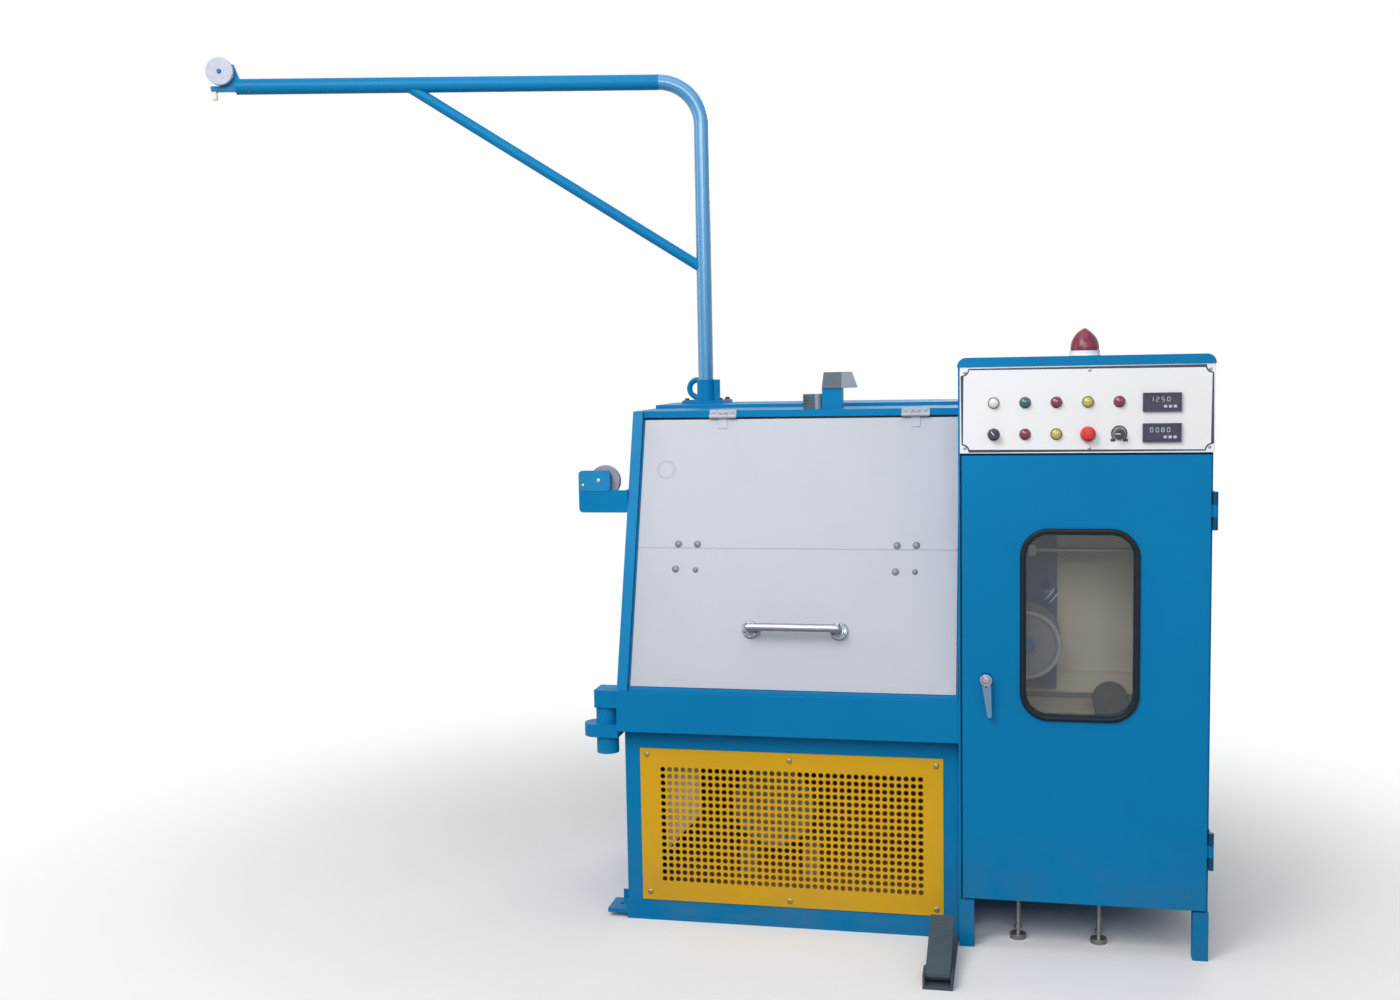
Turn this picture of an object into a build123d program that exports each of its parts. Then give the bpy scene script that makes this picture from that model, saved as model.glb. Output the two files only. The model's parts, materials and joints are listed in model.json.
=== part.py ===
from build123d import *
import os
from math import atan2, cos, radians, sin, tan

os.makedirs("parts", exist_ok=True)

# Fine wire drawing machine, in millimetres. The origin is the middle of the underside of the base.
# X runs to the right along the front, Y towards the back, Z up from the floor.

# Lower body
body_width = 950.0
body_depth = 794.0
sheet = 5.0
base_thickness = 12.0
lower_height = 565.0
lug_reach = 63.0
lug_depth = 90.0
lug_lift = 14.0
lug_thickness = 12.0
anchor_hole_radius = 7.0
foot_gusset = 40.0
foot_rib_reach = 38.0

# Guard over the motor compartment
guard_width = 861.0
guard_bottom = 61.0
guard_top_gap = 58.0
guard_thickness = 3.0
guard_rim = 22.0

# Tray between the lower and the upper body
tray_height = 115.0
tray_beam_depth = 60.0
tray_overhang = 51.0
tray_floor = 10.0
side_overhang = 10.0

# Upper body, whose front leans back
lean = 18.1
post_width = 30.0
right_side_width = 8.0
upper_height = 785.0
post_setback = 8.0
top_thickness = 8.0
top_lip = 20.0
rear_rail_depth = 300.0
rear_rail_height = 10.0

# Two-panel cover
cover_recess = 16.0
cover_thickness = 20.0
cover_sheet = 2.5
cover_side_gap = 5.0
cover_seam_gap = 3.0
upper_cover_length = 384.0
cover_tray_gap = 5.0
hinge_pin_radius = 3.0
hinge_knuckle_radius = 6.0
hinge_running_gap = 0.05
hinge_end_gap = 0.5
hinge_width = 80.0
hinge_leaf = 2.0
hinge_leaf_depth = 30.0
hinge_stand_off = 9.0
hinge_above_cover = 6.0
hinge_moving_leaf = 28.0
hinge_places = (-215.0, 345.0)
seam_hinge_places = (-297.0, 325.0)
seam_hinge_leaf_length = 65.0
seam_axis_offset = 5.0
seam_knuckle_radius = 5.0
seam_pin_inset = 1.0

# Handle of the cover
handle_spacing = 250.0
handle_middle = 18.0
handle_drop = 232.0
handle_bar_radius = 11.0
handle_stand_off = 52.0
handle_flange_radius = 25.0
handle_flange_thickness = 8.0

# Drawing chamber
drawing_plate_front = 60.0
drawing_plate_thickness = 16.0
capstan_steps = 7
capstan_small_radius = 38.0
capstan_step_rise = 8.0
capstan_step_width = 18.0
capstan_hub_radius = 30.0
capstan_hub_length = 36.0
capstan_washer_radius = 26.0
capstan_washer = 4.0
capstan_nut_radius = 17.0
capstan_nut = 14.0
capstan_columns = (-290.0, 60.0)
capstan_rows = (840.0, 1165.0)
finish_capstan_radius = 80.0
finish_capstan_lip = 5.0
finish_capstan_length = 70.0
finish_capstan_place = (300.0, 1000.0)
die_block_length = 190.0
die_block_height = 44.0
die_stem_width = 44.0
die_radius = 12.0
die_rise = 8.0
die_bore_radius = 3.0
die_clamp = 10.0

# Motor, which lies from front to back, and its belt wheel
motor_axis = (-92.0, 262.0)
motor_front = -100.0
motor_fan_radius = 122.0
motor_fan_length = 90.0
motor_fan_round = 18.0
motor_fan_slots = 16
motor_fan_slot_width = 6.0
motor_fan_slot_length = 50.0
motor_core_radius = 100.0
motor_fin_height = 12.0
motor_fin_thickness = 4.0
motor_fins = 24
motor_body_length = 230.0
motor_end_thickness = 16.0
motor_shaft_radius = 19.0
motor_shaft_length = 90.0
motor_shaft_height = 160.0
motor_foot_reach = 127.0
motor_foot_width = 57.0
motor_foot_thickness = 16.0
motor_foot_length = 200.0
motor_web = 16.0
terminal_box_width = 120.0
terminal_box_length = 110.0
terminal_box_height = 50.0
terminal_lid = 6.0
belt_wheel_radius = 90.0
belt_wheel_gap = 20.0
belt_wheel_margin = 4.0
belt_grooves = 3
belt_groove_pitch = 16.0
belt_groove_depth = 11.0
belt_groove_mouth = 12.0
belt_groove_root = 5.0

# Plate that hangs behind the guard, with a slanted lower edge
hanger_left = -366.0
hanger_right = -270.0
hanger_low = 195.0
hanger_slant = 104.0
hanger_front_gap = 52.0
hanger_flange = 40.0

# Overhead wire arm
mast_place = (-358.0, 267.0)
pipe_radius = 24.15
arm_height = 2494.0
bend_radius = 135.0
arm_pipe_reach = 1457.0
arm_swing = 14.5
sleeve_radius = 29.0
sleeve_height = 66.0
sleeve_ear_width = 16.0
sleeve_ear_thickness = 14.0
pipe_fit_gap = 0.08
mast_plate_width = 136.0
mast_plate_front = 55.0
mast_plate_back = 95.0
mast_plate_thickness = 10.0
brace_radius = 16.85
brace_arm_place = 930.0
brace_mast_height = 1905.0
end_pulley_radius = 42.0
end_pulley_width = 16.0
end_pulley_rise = 42.0
end_pulley_reach = 43.0
end_pulley_offset = 30.0
pulley_groove = 9.0
tip_bar_length = 77.0
tip_bar_height = 14.0
tip_bar_width = 30.0
tip_bar_drop = 6.7
tip_cheek_thickness = 8.0
tip_cheek_outline = ((-57.0, -24.0), (-39.0, 24.0), (-13.0, 30.0), (17.0, 18.0), (17.0, -38.0), (-43.0, -48.7))
tip_axle_head = 6.0
tip_axle_radius = 6.0
tip_boss_radius = 12.0
side_running_gap = 0.3
wire_guide_radius = 9.0
wire_guide_bore = 5.0
wire_guide_length = 26.0
eye_radius = 37.0
eye_bar_radius = 9.0
eye_offset = 40.0
eye_behind = 62.0

# Rest for the opened cover
cover_open_angle = 180.0
cover_rest_gap = 6.0
stop_left = 74.0
stop_width = 57.0
stop_depth = 50.0
stop_height = 60.0
stop_inset = 4.0
stop_head_height = 46.0
stop_head_depth = 84.0
stop_head_wing = 38.0
stop_head_wing_slope = 16.0
buffer_radius = 28.0
buffer_height = 43.0
buffer_place = (42.0, -118.0)

# Wire inlet on the left side
inlet_height = 1173.0
inlet_bar_height = 65.0
inlet_bar_length = 147.0
inlet_bar_thickness = 12.0
inlet_plate_width = 96.0
inlet_plate_height = 58.0
inlet_setback = 6.0
inlet_corner = 12.0
inlet_pad_width = 12.0
inlet_pad_depth = 60.0
inlet_pulley_radius = 46.0
inlet_pulley_width = 18.0
inlet_pulley_gap = 12.0
inlet_axle_radius = 8.0
inlet_axle_reach = 74.0
inlet_axle_rise = 91.0
inlet_axle_head = 4.0

# Drain outlet on the left side
drain_box_width = 68.0
drain_box_height = 51.0
drain_box_depth = 76.0
drain_box_setback = 12.0
drain_pipe_inset = 40.5
drain_pipe_radius = 32.0
drain_pipe_wall = 4.0
drain_pipe_length = 136.0
drain_flange_width = 107.0
drain_flange_thickness = 36.0
drain_flange_drop = 101.0
drain_flange_margin = 8.0

# Control and take-up cabinet
cabinet_width = 650.0
cabinet_depth = 850.0
cabinet_bottom = 132.0
cabinet_top = 1580.0
cabinet_front_step = 56.0
cabinet_wall = 5.0
cabinet_floor = 8.0
cap_height = 25.0
cap_overlap = 2.0
cap_round = 24.0
leg_size = 40.0
leg_setback = 2.0
door_back_gap = 8.0
panel_bottom = 1352.0
panel_thickness = 3.0
control_box_depth = 200.0
foot_radius = 22.0
foot_stud_radius = 6.0
foot_pad_height = 14.0
foot_nut_height = 10.0
foot_nut_lift = 14.0
foot_nut_radius = 10.0
foot_places = (157.0, 373.0)
foot_front = 90.0
foot_back = 120.0

# Panel fittings, from the cabinet's left edge and the floor
button_columns = (93.0, 174.0, 254.0, 334.0, 413.0)
button_rows = (1485.0, 1402.0)
shaft_columns = (0, 3, 4)
button_radius = 15.0
button_height = 14.0
button_bezel = 3.0
button_chamfer = 1.5
button_dome = 3.0
knob_radius = 14.0
knob_height = 22.0
knob_skirt = 3.0
knob_chamfer = 2.0
stop_button_radius = 20.0
stop_button_height = 28.0
stop_button_under = 9.0
stop_button_neck = 3.0
stop_button_rim = 7.0
stem_radius = 5.0
stem_gap = 0.05
stem_length = 18.0
stem_room = 6.0
knob_lift = 0.5
meter_left = 471.0
meter_tops = (1507.0, 1428.0)
meter_width = 96.0
meter_height = 48.0
meter_depth = 10.0
meter_bezel = 5.0
meter_sink = 2.0

# Door
door_left_gap = 10.0
door_right_gap = 7.0
door_bottom_gap = 5.0
door_top_gap = 6.0
door_thickness = 20.0
door_sheet = 2.5
door_hinge_radius = 7.0
door_hinge_pin = 3.5
door_hinge_forward = 6.0
door_hinge_side = 4.0
door_hinge_height = 100.0
door_hinge_places = (1200.0, 298.0)
door_hinge_leaf = 3.0
door_hinge_inner_leaf = 4.0
door_hinge_leaf_depth = 70.0
door_hinge_spine = 30.0
door_hinge_inset = 2.0
window_left = 161.0
window_width = 308.0
window_bottom = 637.0
window_height = 516.0
window_corner = 75.0
gasket_width = 15.0
gasket_proud = 4.0
glass_thickness = 5.0
glass_setback = 6.0
window_frame = 10.0
lever_place = (73.0, 746.0)
lever_length = 96.0
lever_tilt = 5.4
lever_top_width = 26.0
lever_tip_width = 12.0
lever_hub_radius = 17.0
lever_hub_height = 14.0
lever_hub_edge = 3.0
lever_thickness = 10.0
lever_shaft_radius = 7.0
lever_boss = 8.0

# Inside the cabinet, from its left edge, its front and the floor
inner_wall_depth = 433.0
inner_wall_thickness = 8.0
inner_strip = 4.0
inner_strip_top = 691.0
inner_strip_bottom = 622.0
inner_skirt_top = 607.0
shelf_top = 575.0
shelf_thickness = 8.0
shelf_front = 130.0
carrier_right = 266.0
carrier_bottom = 640.0
carrier_depth = 40.0
spool_place = (178.0, 812.0)
spool_front = 150.0
spool_length = 160.0
spool_flange_radius = 96.0
spool_flange = 10.0
spool_rim = 14.0
spool_dish = 4.0
spool_hub_radius = 30.0
spool_barrel_radius = 50.0
spindle_radius = 15.0
spindle_collar_radius = 28.0
spindle_nose_radius = 24.0
spindle_nose_length = 18.0
guide_place = (247.0, 943.0)
guide_depth = 203.0
guide_radius = 22.0
guide_width = 12.0
guide_groove = 5.0
guide_tilt = 40.0
guide_post_radius = 8.0
guide_post_gap = 2.0
guide_pin_radius = 5.0
traverse_height = 1064.5
traverse_depth = 253.0
traverse_radius = 7.5
traverse_block_left = 185.0
traverse_block = 20.0
traverse_collar_radius = 16.0
traverse_collar = 10.0
drum_left = 414.0
drum_radius = 50.0
drum_front = 203.0
drum_length = 140.0
drum_round = 8.0
drum_foot_width = 80.0
drum_foot_height = 20.0

# Beacon on the cabinet
beacon_place = (333.0, 200.0)
beacon_radius = 38.0
beacon_height = 61.0
beacon_skirt = 6.0
beacon_tip = 1.0
beacon_base_radius = 40.0
beacon_base_height = 14.0
beacon_base_flange = 3.0
beacon_base_step = 2.0

# Foot pedal
pedal_left = -81.0
pedal_width = 77.0
pedal_length = 240.0
pedal_base_thickness = 8.0
pedal_back = -60.0
treadle_thickness = 12.0
treadle_back_height = 108.0
treadle_front_height = 42.0
pedal_pin_radius = 5.0
pedal_cheek = 6.0
pedal_cheek_length = 60.0
pedal_cheek_rise = 10.0
pedal_side_gap = 1.0
pedal_pin_place = 25.0
pedal_eye = 10.0
pedal_nose = 5.0

# Places worked out from the sizes above
left = -body_width / 2
right = body_width / 2
front = -body_depth / 2
back = body_depth / 2
tray_front = front - tray_overhang
tray_top = lower_height + tray_height
guard_height = lower_height - guard_bottom - guard_top_gap
body_left = left - side_overhang
body_top = tray_top + upper_height
rail_top = body_top + rear_rail_height
post_foot = tray_front + post_setback
cabinet_front = front - cabinet_front_step
cabinet_back = cabinet_front + cabinet_depth
cabinet_right = right + cabinet_width
door_front = cabinet_front
lean_tan = tan(radians(lean))
lean_cos = cos(radians(lean))
lean_sin = sin(radians(lean))


def post_line(height):
    """Y of the leaning front edge of the side posts at a height."""
    return post_foot + (height - tray_top) * lean_tan


def slab(x0, x1, y0, y1, z0, z1):
    return Pos((x0 + x1) / 2, (y0 + y1) / 2, (z0 + z1) / 2) * Box(x1 - x0, y1 - y0, z1 - z0)


def rod(start, direction, radius, length):
    """Round bar from a start point along a direction."""
    return Plane(origin=start, z_dir=direction) * (Pos(0, 0, length / 2) * Cylinder(radius, length))


def tube(start, direction, outer, inner, length):
    return rod(start, direction, outer, length) - rod(start, direction, inner, length)


def turned(points, place, turn):
    """Turned piece from (radius, distance) points, moved to a place and turned from its +Y axis."""
    return Pos(*place) * (turn * revolve(make_face(Polyline(points, close=True)), Axis.Y))


FACING_BACK = Rot(0, 0, 0)
FACING_FRONT = Rot(180, 0, 0)
FACING_UP = Rot(90, 0, 0)


def upright_plate(width, height, corner, centre, y0, y1):
    """Plate with rounded corners that stands in the XZ plane between two Y values."""
    plane = Plane(origin=(centre[0], y0, centre[1]), x_dir=(1, 0, 0), z_dir=(0, 1, 0))
    return extrude(plane * RectangleRounded(width, height, corner), amount=y1 - y0)


def side_shape(points, x0, x1):
    """Solid between two X values with a profile of (Y, Z) points."""
    face = make_face(Polyline([(x0, y, z) for y, z in points], close=True))
    return extrude(face, amount=x1 - x0, dir=(1, 0, 0))


# The cover's own plane: its origin is the top hinge pin, its Y runs up the slope and its Z outwards
outward = (0, -lean_cos, lean_sin)
upslope = (0, lean_sin, lean_cos)
cover_top_height = body_top - top_lip - hinge_above_cover
cover_face_y = post_line(cover_top_height) + cover_recess / lean_cos
pin_y = cover_face_y - hinge_stand_off * lean_cos + hinge_above_cover * lean_sin
pin_z = cover_top_height + hinge_stand_off * lean_sin + hinge_above_cover * lean_cos
cover_plane = Plane(origin=(0, pin_y, pin_z), x_dir=(1, 0, 0), z_dir=outward)
cover_left = body_left + post_width + cover_side_gap
cover_right = right - right_side_width
seam_line = -hinge_above_cover - upper_cover_length - cover_seam_gap / 2
cover_outer = -hinge_stand_off
cover_inner = cover_outer - cover_thickness
cover_end = (tray_top + cover_tray_gap - pin_z - cover_inner * lean_sin) / lean_cos
lower_cover_length = seam_line - cover_seam_gap / 2 - cover_end


def opened_face(height):
    """Y of the opened cover's rear face at a height."""
    open_tan = tan(radians(lean + cover_open_angle - 180))
    open_cos = cos(radians(lean + cover_open_angle - 180))
    return pin_y + (height - pin_z) * open_tan - hinge_stand_off / open_cos


def on_cover(x0, x1, v0, v1, w0, w1):
    """Block in the cover's own plane."""
    block = Pos((x0 + x1) / 2, (v0 + v1) / 2, (w0 + w1) / 2) * Box(x1 - x0, v1 - v0, w1 - w0)
    return cover_plane * block


def cover_rod(x, v, radius, width, w=0.0):
    """Round bar along X, centred on a point of the cover's plane."""
    return cover_plane * (Pos(x, v, w) * (Rot(0, 90, 0) * Cylinder(radius, width)))


def cover_pan(v_low, v_high):
    """Folded sheet panel that is open on its inner side."""
    block = on_cover(cover_left, cover_right, v_low, v_high, cover_inner, cover_outer)
    hollow = on_cover(cover_left + cover_sheet, cover_right - cover_sheet, v_low + cover_sheet,
                      v_high - cover_sheet, cover_inner, cover_outer - cover_sheet)
    return block - hollow


# Lower body

def make_base_plate():
    plate = slab(left, right, front, back, 0, base_thickness)
    for y in (front, back - lug_depth):
        lug = slab(left - lug_reach, left, y, y + lug_depth, lug_lift, lug_lift + lug_thickness)
        web = slab(left - sheet, left, y, y + lug_depth, 0, lug_lift + foot_gusset)
        rib = side_shape([(y + lug_depth - sheet, lug_lift), (y + lug_depth, lug_lift),
                          (y + lug_depth, lug_lift + foot_gusset), (y + lug_depth - sheet, lug_lift + foot_gusset)],
                         left - foot_rib_reach, left)
        hole = rod((left - lug_reach / 2, y + lug_depth / 2, lug_lift - 1), (0, 0, 1), anchor_hole_radius,
                   lug_thickness + 2)
        plate = plate + lug + web + rib - hole
    return plate


def make_lower_sides():
    z0, z1 = base_thickness, lower_height
    left_sheet = slab(left, left + sheet, front + sheet, back - sheet, z0, z1)
    right_sheet = slab(right - sheet, right, front + sheet, back - sheet, z0, z1)
    return [left_sheet, right_sheet]


def make_lower_front():
    plate = slab(left, right, front, front + sheet, base_thickness, lower_height)
    opening = slab(-guard_width / 2 + guard_rim, guard_width / 2 - guard_rim, front - 1, front + sheet + 1,
                   guard_bottom + guard_rim, guard_bottom + guard_height - guard_rim)
    return plate - opening


def make_guard():
    return slab(-guard_width / 2, guard_width / 2, front - guard_thickness, front,
                guard_bottom, guard_bottom + guard_height)


def around_motor(angle, radius, y):
    """Place at an angle about the motor's axis, turned with it."""
    return Pos(motor_axis[0], y, motor_axis[1]) * Rot(0, angle, 0) * Pos(radius, 0, 0)


def motor_fan_cover():
    """Round cover with a ring of radial slots in its front."""
    x, z = motor_axis
    cover = rod((x, motor_front, z), (0, 1, 0), motor_fan_radius, motor_fan_length)
    cover = fillet(cover.edges().group_by(Axis.Y)[0], motor_fan_round)
    reach = motor_fan_radius - motor_fan_round - motor_fan_slot_length / 2
    slot = Box(motor_fan_slot_length, 2 * motor_end_thickness, motor_fan_slot_width)
    turn = 360 / motor_fan_slots
    return cover - [around_motor(turn * k, reach, motor_front) * slot for k in range(motor_fan_slots)]


def motor_feet(y0, y1):
    """Two foot pads with their webs, on two rails that stand on the base."""
    x, z = motor_axis
    underside = z - motor_shaft_height
    shapes = []
    for side in (-1, 1):
        outer = x + side * motor_foot_reach
        inner = outer - side * motor_foot_width
        x0, x1 = min(outer, inner), max(outer, inner)
        shapes.append(slab(x0, x1, y0, y1, underside, underside + motor_foot_thickness))
        shapes.append(slab(x0, x1, y0 - motor_web, y1 + motor_web, base_thickness, underside))
        w0, w1 = min(inner, inner + side * motor_web), max(inner, inner + side * motor_web)
        shapes.append(slab(w0, w1, y0, y1, underside, z - motor_core_radius / 3))
    return shapes


def belt_wheel_outline():
    """(radius, distance) points of the wheel with its V grooves."""
    r = belt_wheel_radius
    points = [(0, 0), (r, 0)]
    for k in range(belt_grooves):
        middle = belt_wheel_margin + belt_groove_pitch * (k + 0.5)
        points.append((r, middle - belt_groove_mouth / 2))
        points.append((r - belt_groove_depth, middle - belt_groove_root / 2))
        points.append((r - belt_groove_depth, middle + belt_groove_root / 2))
        points.append((r, middle + belt_groove_mouth / 2))
    width = 2 * belt_wheel_margin + belt_groove_pitch * belt_grooves
    return points + [(r, width), (0, width)]


def make_motor():
    """Motor with its fins, feet, terminal box, fan cover and belt wheel."""
    x, z = motor_axis
    body_front = motor_front + motor_fan_length
    body_back = body_front + motor_body_length
    ends = motor_core_radius + motor_fin_height
    core = rod((x, body_front, z), (0, 1, 0), motor_core_radius, motor_body_length)
    end_shield = rod((x, body_back, z), (0, 1, 0), ends, motor_end_thickness)
    shaft = rod((x, body_back, z), (0, 1, 0), motor_shaft_radius, motor_end_thickness + motor_shaft_length)
    middle = (body_front + body_back) / 2
    fin = Box(2 * motor_fin_height, motor_body_length, motor_fin_thickness)
    turn = 360 / motor_fins
    fins = [around_motor(turn * (k + 0.5), motor_core_radius, middle) * fin for k in range(motor_fins)]
    box_floor = z + motor_core_radius - motor_fin_height
    box_top = z + ends + terminal_box_height
    half_width, half_length = terminal_box_width / 2, terminal_box_length / 2
    terminal_box = slab(x - half_width, x + half_width, middle - half_length, middle + half_length, box_floor, box_top)
    lid = slab(x - half_width - terminal_lid, x + half_width + terminal_lid, middle - half_length - terminal_lid,
               middle + half_length + terminal_lid, box_top, box_top + terminal_lid)
    wheel_front = body_back + motor_end_thickness + belt_wheel_gap
    wheel = turned(belt_wheel_outline(), (x, wheel_front, z), FACING_BACK)
    feet = motor_feet(middle - motor_foot_length / 2, middle + motor_foot_length / 2)
    return motor_fan_cover() + core + [end_shield, shaft, terminal_box, lid, wheel] + fins + feet


def make_hanger_plate():
    """Sheet that hangs from the tray behind the guard."""
    y0 = front + hanger_front_gap
    outline = [(hanger_left, lower_height), (hanger_right, lower_height), (hanger_right, hanger_low + hanger_slant),
               (hanger_left, hanger_low)]
    face = make_face(Polyline([(x, y0, z) for x, z in outline], close=True))
    sheet_part = extrude(face, amount=sheet, dir=(0, 1, 0))
    flange = slab(hanger_left, hanger_right, y0, y0 + hanger_flange, lower_height - sheet, lower_height)
    return sheet_part + flange


# Tray and upper body

def make_tray():
    y0, y1 = tray_front, tray_front + tray_beam_depth
    beam = side_shape([(y0, lower_height), (y0, tray_top), (y1, tray_top), (y1, lower_height)], body_left, right)
    floor = slab(body_left, right, y1, back, lower_height, lower_height + tray_floor)
    return beam + floor


def make_upper_sides():
    z0, z1 = lower_height + tray_floor, body_top
    y1 = tray_front + tray_beam_depth
    outline = [(y1, z0), (y1, tray_top), (post_foot, tray_top), (post_line(z1), z1), (back, z1), (back, z0)]
    post = side_shape(outline, body_left, body_left + post_width)
    shift = (cover_recess + cover_thickness + hinge_stand_off) / lean_cos
    inner = [(y1, z0), (y1, tray_top), (post_foot + shift, tray_top), (post_line(z1) + shift, z1),
             (back, z1), (back, z0)]
    far_side = side_shape(inner, right - right_side_width, right)
    return [post, far_side]


def make_back_panel():
    return slab(body_left + post_width, right - right_side_width, back - sheet, back, lower_height + tray_floor,
                body_top - top_thickness)


def make_lower_back():
    return slab(left, right, back - sheet, back, base_thickness, lower_height)


def make_top_plate():
    y0 = cover_face_y
    x0, x1 = body_left + post_width, right - right_side_width
    plate = slab(x0, x1, y0, back, body_top - top_thickness, body_top)
    lip = slab(x0, x1, y0, y0 + sheet, body_top - top_lip, body_top)
    rail = slab(body_left, right, back - rear_rail_depth, back, body_top, rail_top)
    return plate + lip + rail


def capstan_radius(step):
    """Radius of a step, counted from the plate outwards."""
    return capstan_small_radius + capstan_step_rise * (capstan_steps - 1 - step)


def die_block(x):
    """Bar between the two cones of a column, with a die on the wire's line to each step."""
    z = (capstan_rows[0] + capstan_rows[1]) / 2
    z0, z1 = z - die_block_height / 2, z + die_block_height / 2
    y1 = drawing_plate_front - capstan_hub_length
    y0 = y1 - capstan_steps * capstan_step_width
    block = slab(x - die_block_length / 2, x + die_block_length / 2, y0, y1, z0, z1)
    stem = slab(x - die_stem_width / 2, x + die_stem_width / 2, y1, drawing_plate_front, z0, z1)
    clamp = slab(x - die_clamp, x + die_clamp, y0, y1, z1, z1 + die_clamp)
    dies, bores = [], []
    for k in range(capstan_steps):
        place = (x + capstan_radius(k), y1 - capstan_step_width * (k + 0.5), z0 - 1)
        dies.append(rod((place[0], place[1], z1), (0, 0, 1), die_radius * 0.7, die_rise))
        bores.append(rod(place, (0, 0, 1), die_bore_radius, die_block_height + die_rise + 2))
    return block + stem + clamp + dies - bores


def make_drawing_plate():
    y0 = drawing_plate_front
    plate = slab(body_left + post_width, right - right_side_width, y0, y0 + drawing_plate_thickness,
                 lower_height + tray_floor, body_top - top_thickness)
    return plate + [die_block(x) for x in capstan_columns]


def capstan_nut_and_washer(x, y, z):
    """Washer and hexagon nut on the front of a capstan."""
    washer = rod((x, y, z), (0, -1, 0), capstan_washer_radius, capstan_washer)
    seat = Plane(origin=(x, y - capstan_washer, z), z_dir=(0, -1, 0))
    return washer + extrude(seat * RegularPolygon(capstan_nut_radius, 6), amount=capstan_nut)


def stepped_cone(x, z):
    """Cone pulley whose steps grow towards the plate that carries it."""
    points = [(0, 0), (capstan_hub_radius, 0), (capstan_hub_radius, capstan_hub_length)]
    for k in range(capstan_steps):
        at = capstan_hub_length + capstan_step_width * k
        points.append((capstan_radius(k), at))
        points.append((capstan_radius(k), at + capstan_step_width))
    length = capstan_hub_length + capstan_steps * capstan_step_width
    points.append((0, length))
    cone = turned(points, (x, drawing_plate_front, z), FACING_FRONT)
    return cone + capstan_nut_and_washer(x, drawing_plate_front - length, z)


def finish_capstan():
    """Single drum with a lip at each end, for the last draft."""
    x, z = finish_capstan_place
    r, lip = finish_capstan_radius, finish_capstan_lip
    a, b = capstan_hub_length, capstan_hub_length + finish_capstan_length
    points = [(0, 0), (capstan_hub_radius, 0), (capstan_hub_radius, a), (r + lip, a), (r + lip, a + lip),
              (r, a + 2 * lip), (r, b - 2 * lip), (r + lip, b - lip), (r + lip, b), (0, b)]
    drum = turned(points, (x, drawing_plate_front, z), FACING_FRONT)
    return drum + capstan_nut_and_washer(x, drawing_plate_front - b, z)


def make_capstans():
    cones = [stepped_cone(x, z) for x in capstan_columns for z in capstan_rows]
    return cones + [finish_capstan()]


# Cover

def make_cover_hinges():
    """Fixed half of the two top hinges, with the pins."""
    halves = []
    knuckle = hinge_width / 3
    for x in hinge_places:
        x0, x1 = x - hinge_width / 2, x + hinge_width / 2
        leaf_back = cover_face_y + hinge_leaf_depth
        leaf = slab(x0, x1, cover_face_y - hinge_leaf, leaf_back, body_top, body_top + hinge_leaf)
        drop = slab(x0, x1, cover_face_y - hinge_leaf, cover_face_y, pin_z, body_top + hinge_leaf)
        notch = slab(x - knuckle / 2 - hinge_end_gap, x + knuckle / 2 + hinge_end_gap, pin_y, cover_face_y,
                     pin_z - hinge_knuckle_radius, pin_z + hinge_knuckle_radius + 1)
        half = leaf + drop - notch
        for side in (-1, 1):
            half = half + cover_rod(x + side * knuckle, 0, hinge_knuckle_radius, knuckle)
        half = half + cover_rod(x, 0, hinge_pin_radius, hinge_width)
        halves.append(half)
    return halves


def make_upper_cover():
    pan = cover_pan(seam_line + cover_seam_gap / 2, -hinge_above_cover)
    knuckle = hinge_width / 3 - 2 * hinge_end_gap
    for x in hinge_places:
        low = -hinge_above_cover - hinge_moving_leaf
        high = -hinge_knuckle_radius + hinge_stand_off / 2
        leaf = on_cover(x - knuckle / 2, x + knuckle / 2, low, high, cover_outer, cover_outer + hinge_leaf)
        wrap = on_cover(x - knuckle / 2, x + knuckle / 2, -hinge_knuckle_radius, high, cover_outer, 0)
        barrel = cover_rod(x, 0, hinge_knuckle_radius, knuckle)
        pan = pan + leaf + wrap + barrel
        pan = pan - cover_rod(x, 0, hinge_pin_radius + hinge_running_gap, hinge_width)
    third = hinge_width / 3
    for x in seam_hinge_places:
        for side in (-1, 1):
            a = x + side * third - third / 2 + hinge_end_gap
            b = x + side * third + third / 2 - hinge_end_gap
            leaf = on_cover(a, b, seam_line, seam_line + seam_hinge_leaf_length,
                            cover_inner - hinge_leaf, cover_inner)
            barrel = cover_rod(x + side * third, seam_line, seam_knuckle_radius, third - 2 * hinge_end_gap,
                               cover_inner - seam_axis_offset)
            pan = pan + leaf + barrel
        pin_length = hinge_width - 2 * seam_pin_inset
        pan = pan + cover_rod(x, seam_line, hinge_pin_radius, pin_length, cover_inner - seam_axis_offset)
    return pan


def make_lower_cover():
    pan = cover_pan(seam_line - cover_seam_gap / 2 - lower_cover_length, seam_line - cover_seam_gap / 2)
    third = hinge_width / 3 - 2 * hinge_end_gap
    for x in seam_hinge_places:
        leaf = on_cover(x - third / 2, x + third / 2, seam_line - seam_hinge_leaf_length, seam_line,
                        cover_inner - hinge_leaf, cover_inner)
        barrel = cover_rod(x, seam_line, seam_knuckle_radius, third, cover_inner - seam_axis_offset)
        pan = pan + leaf + barrel
        pan = pan - cover_rod(x, seam_line, hinge_pin_radius + hinge_running_gap, hinge_width,
                              cover_inner - seam_axis_offset)
    return pan


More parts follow.
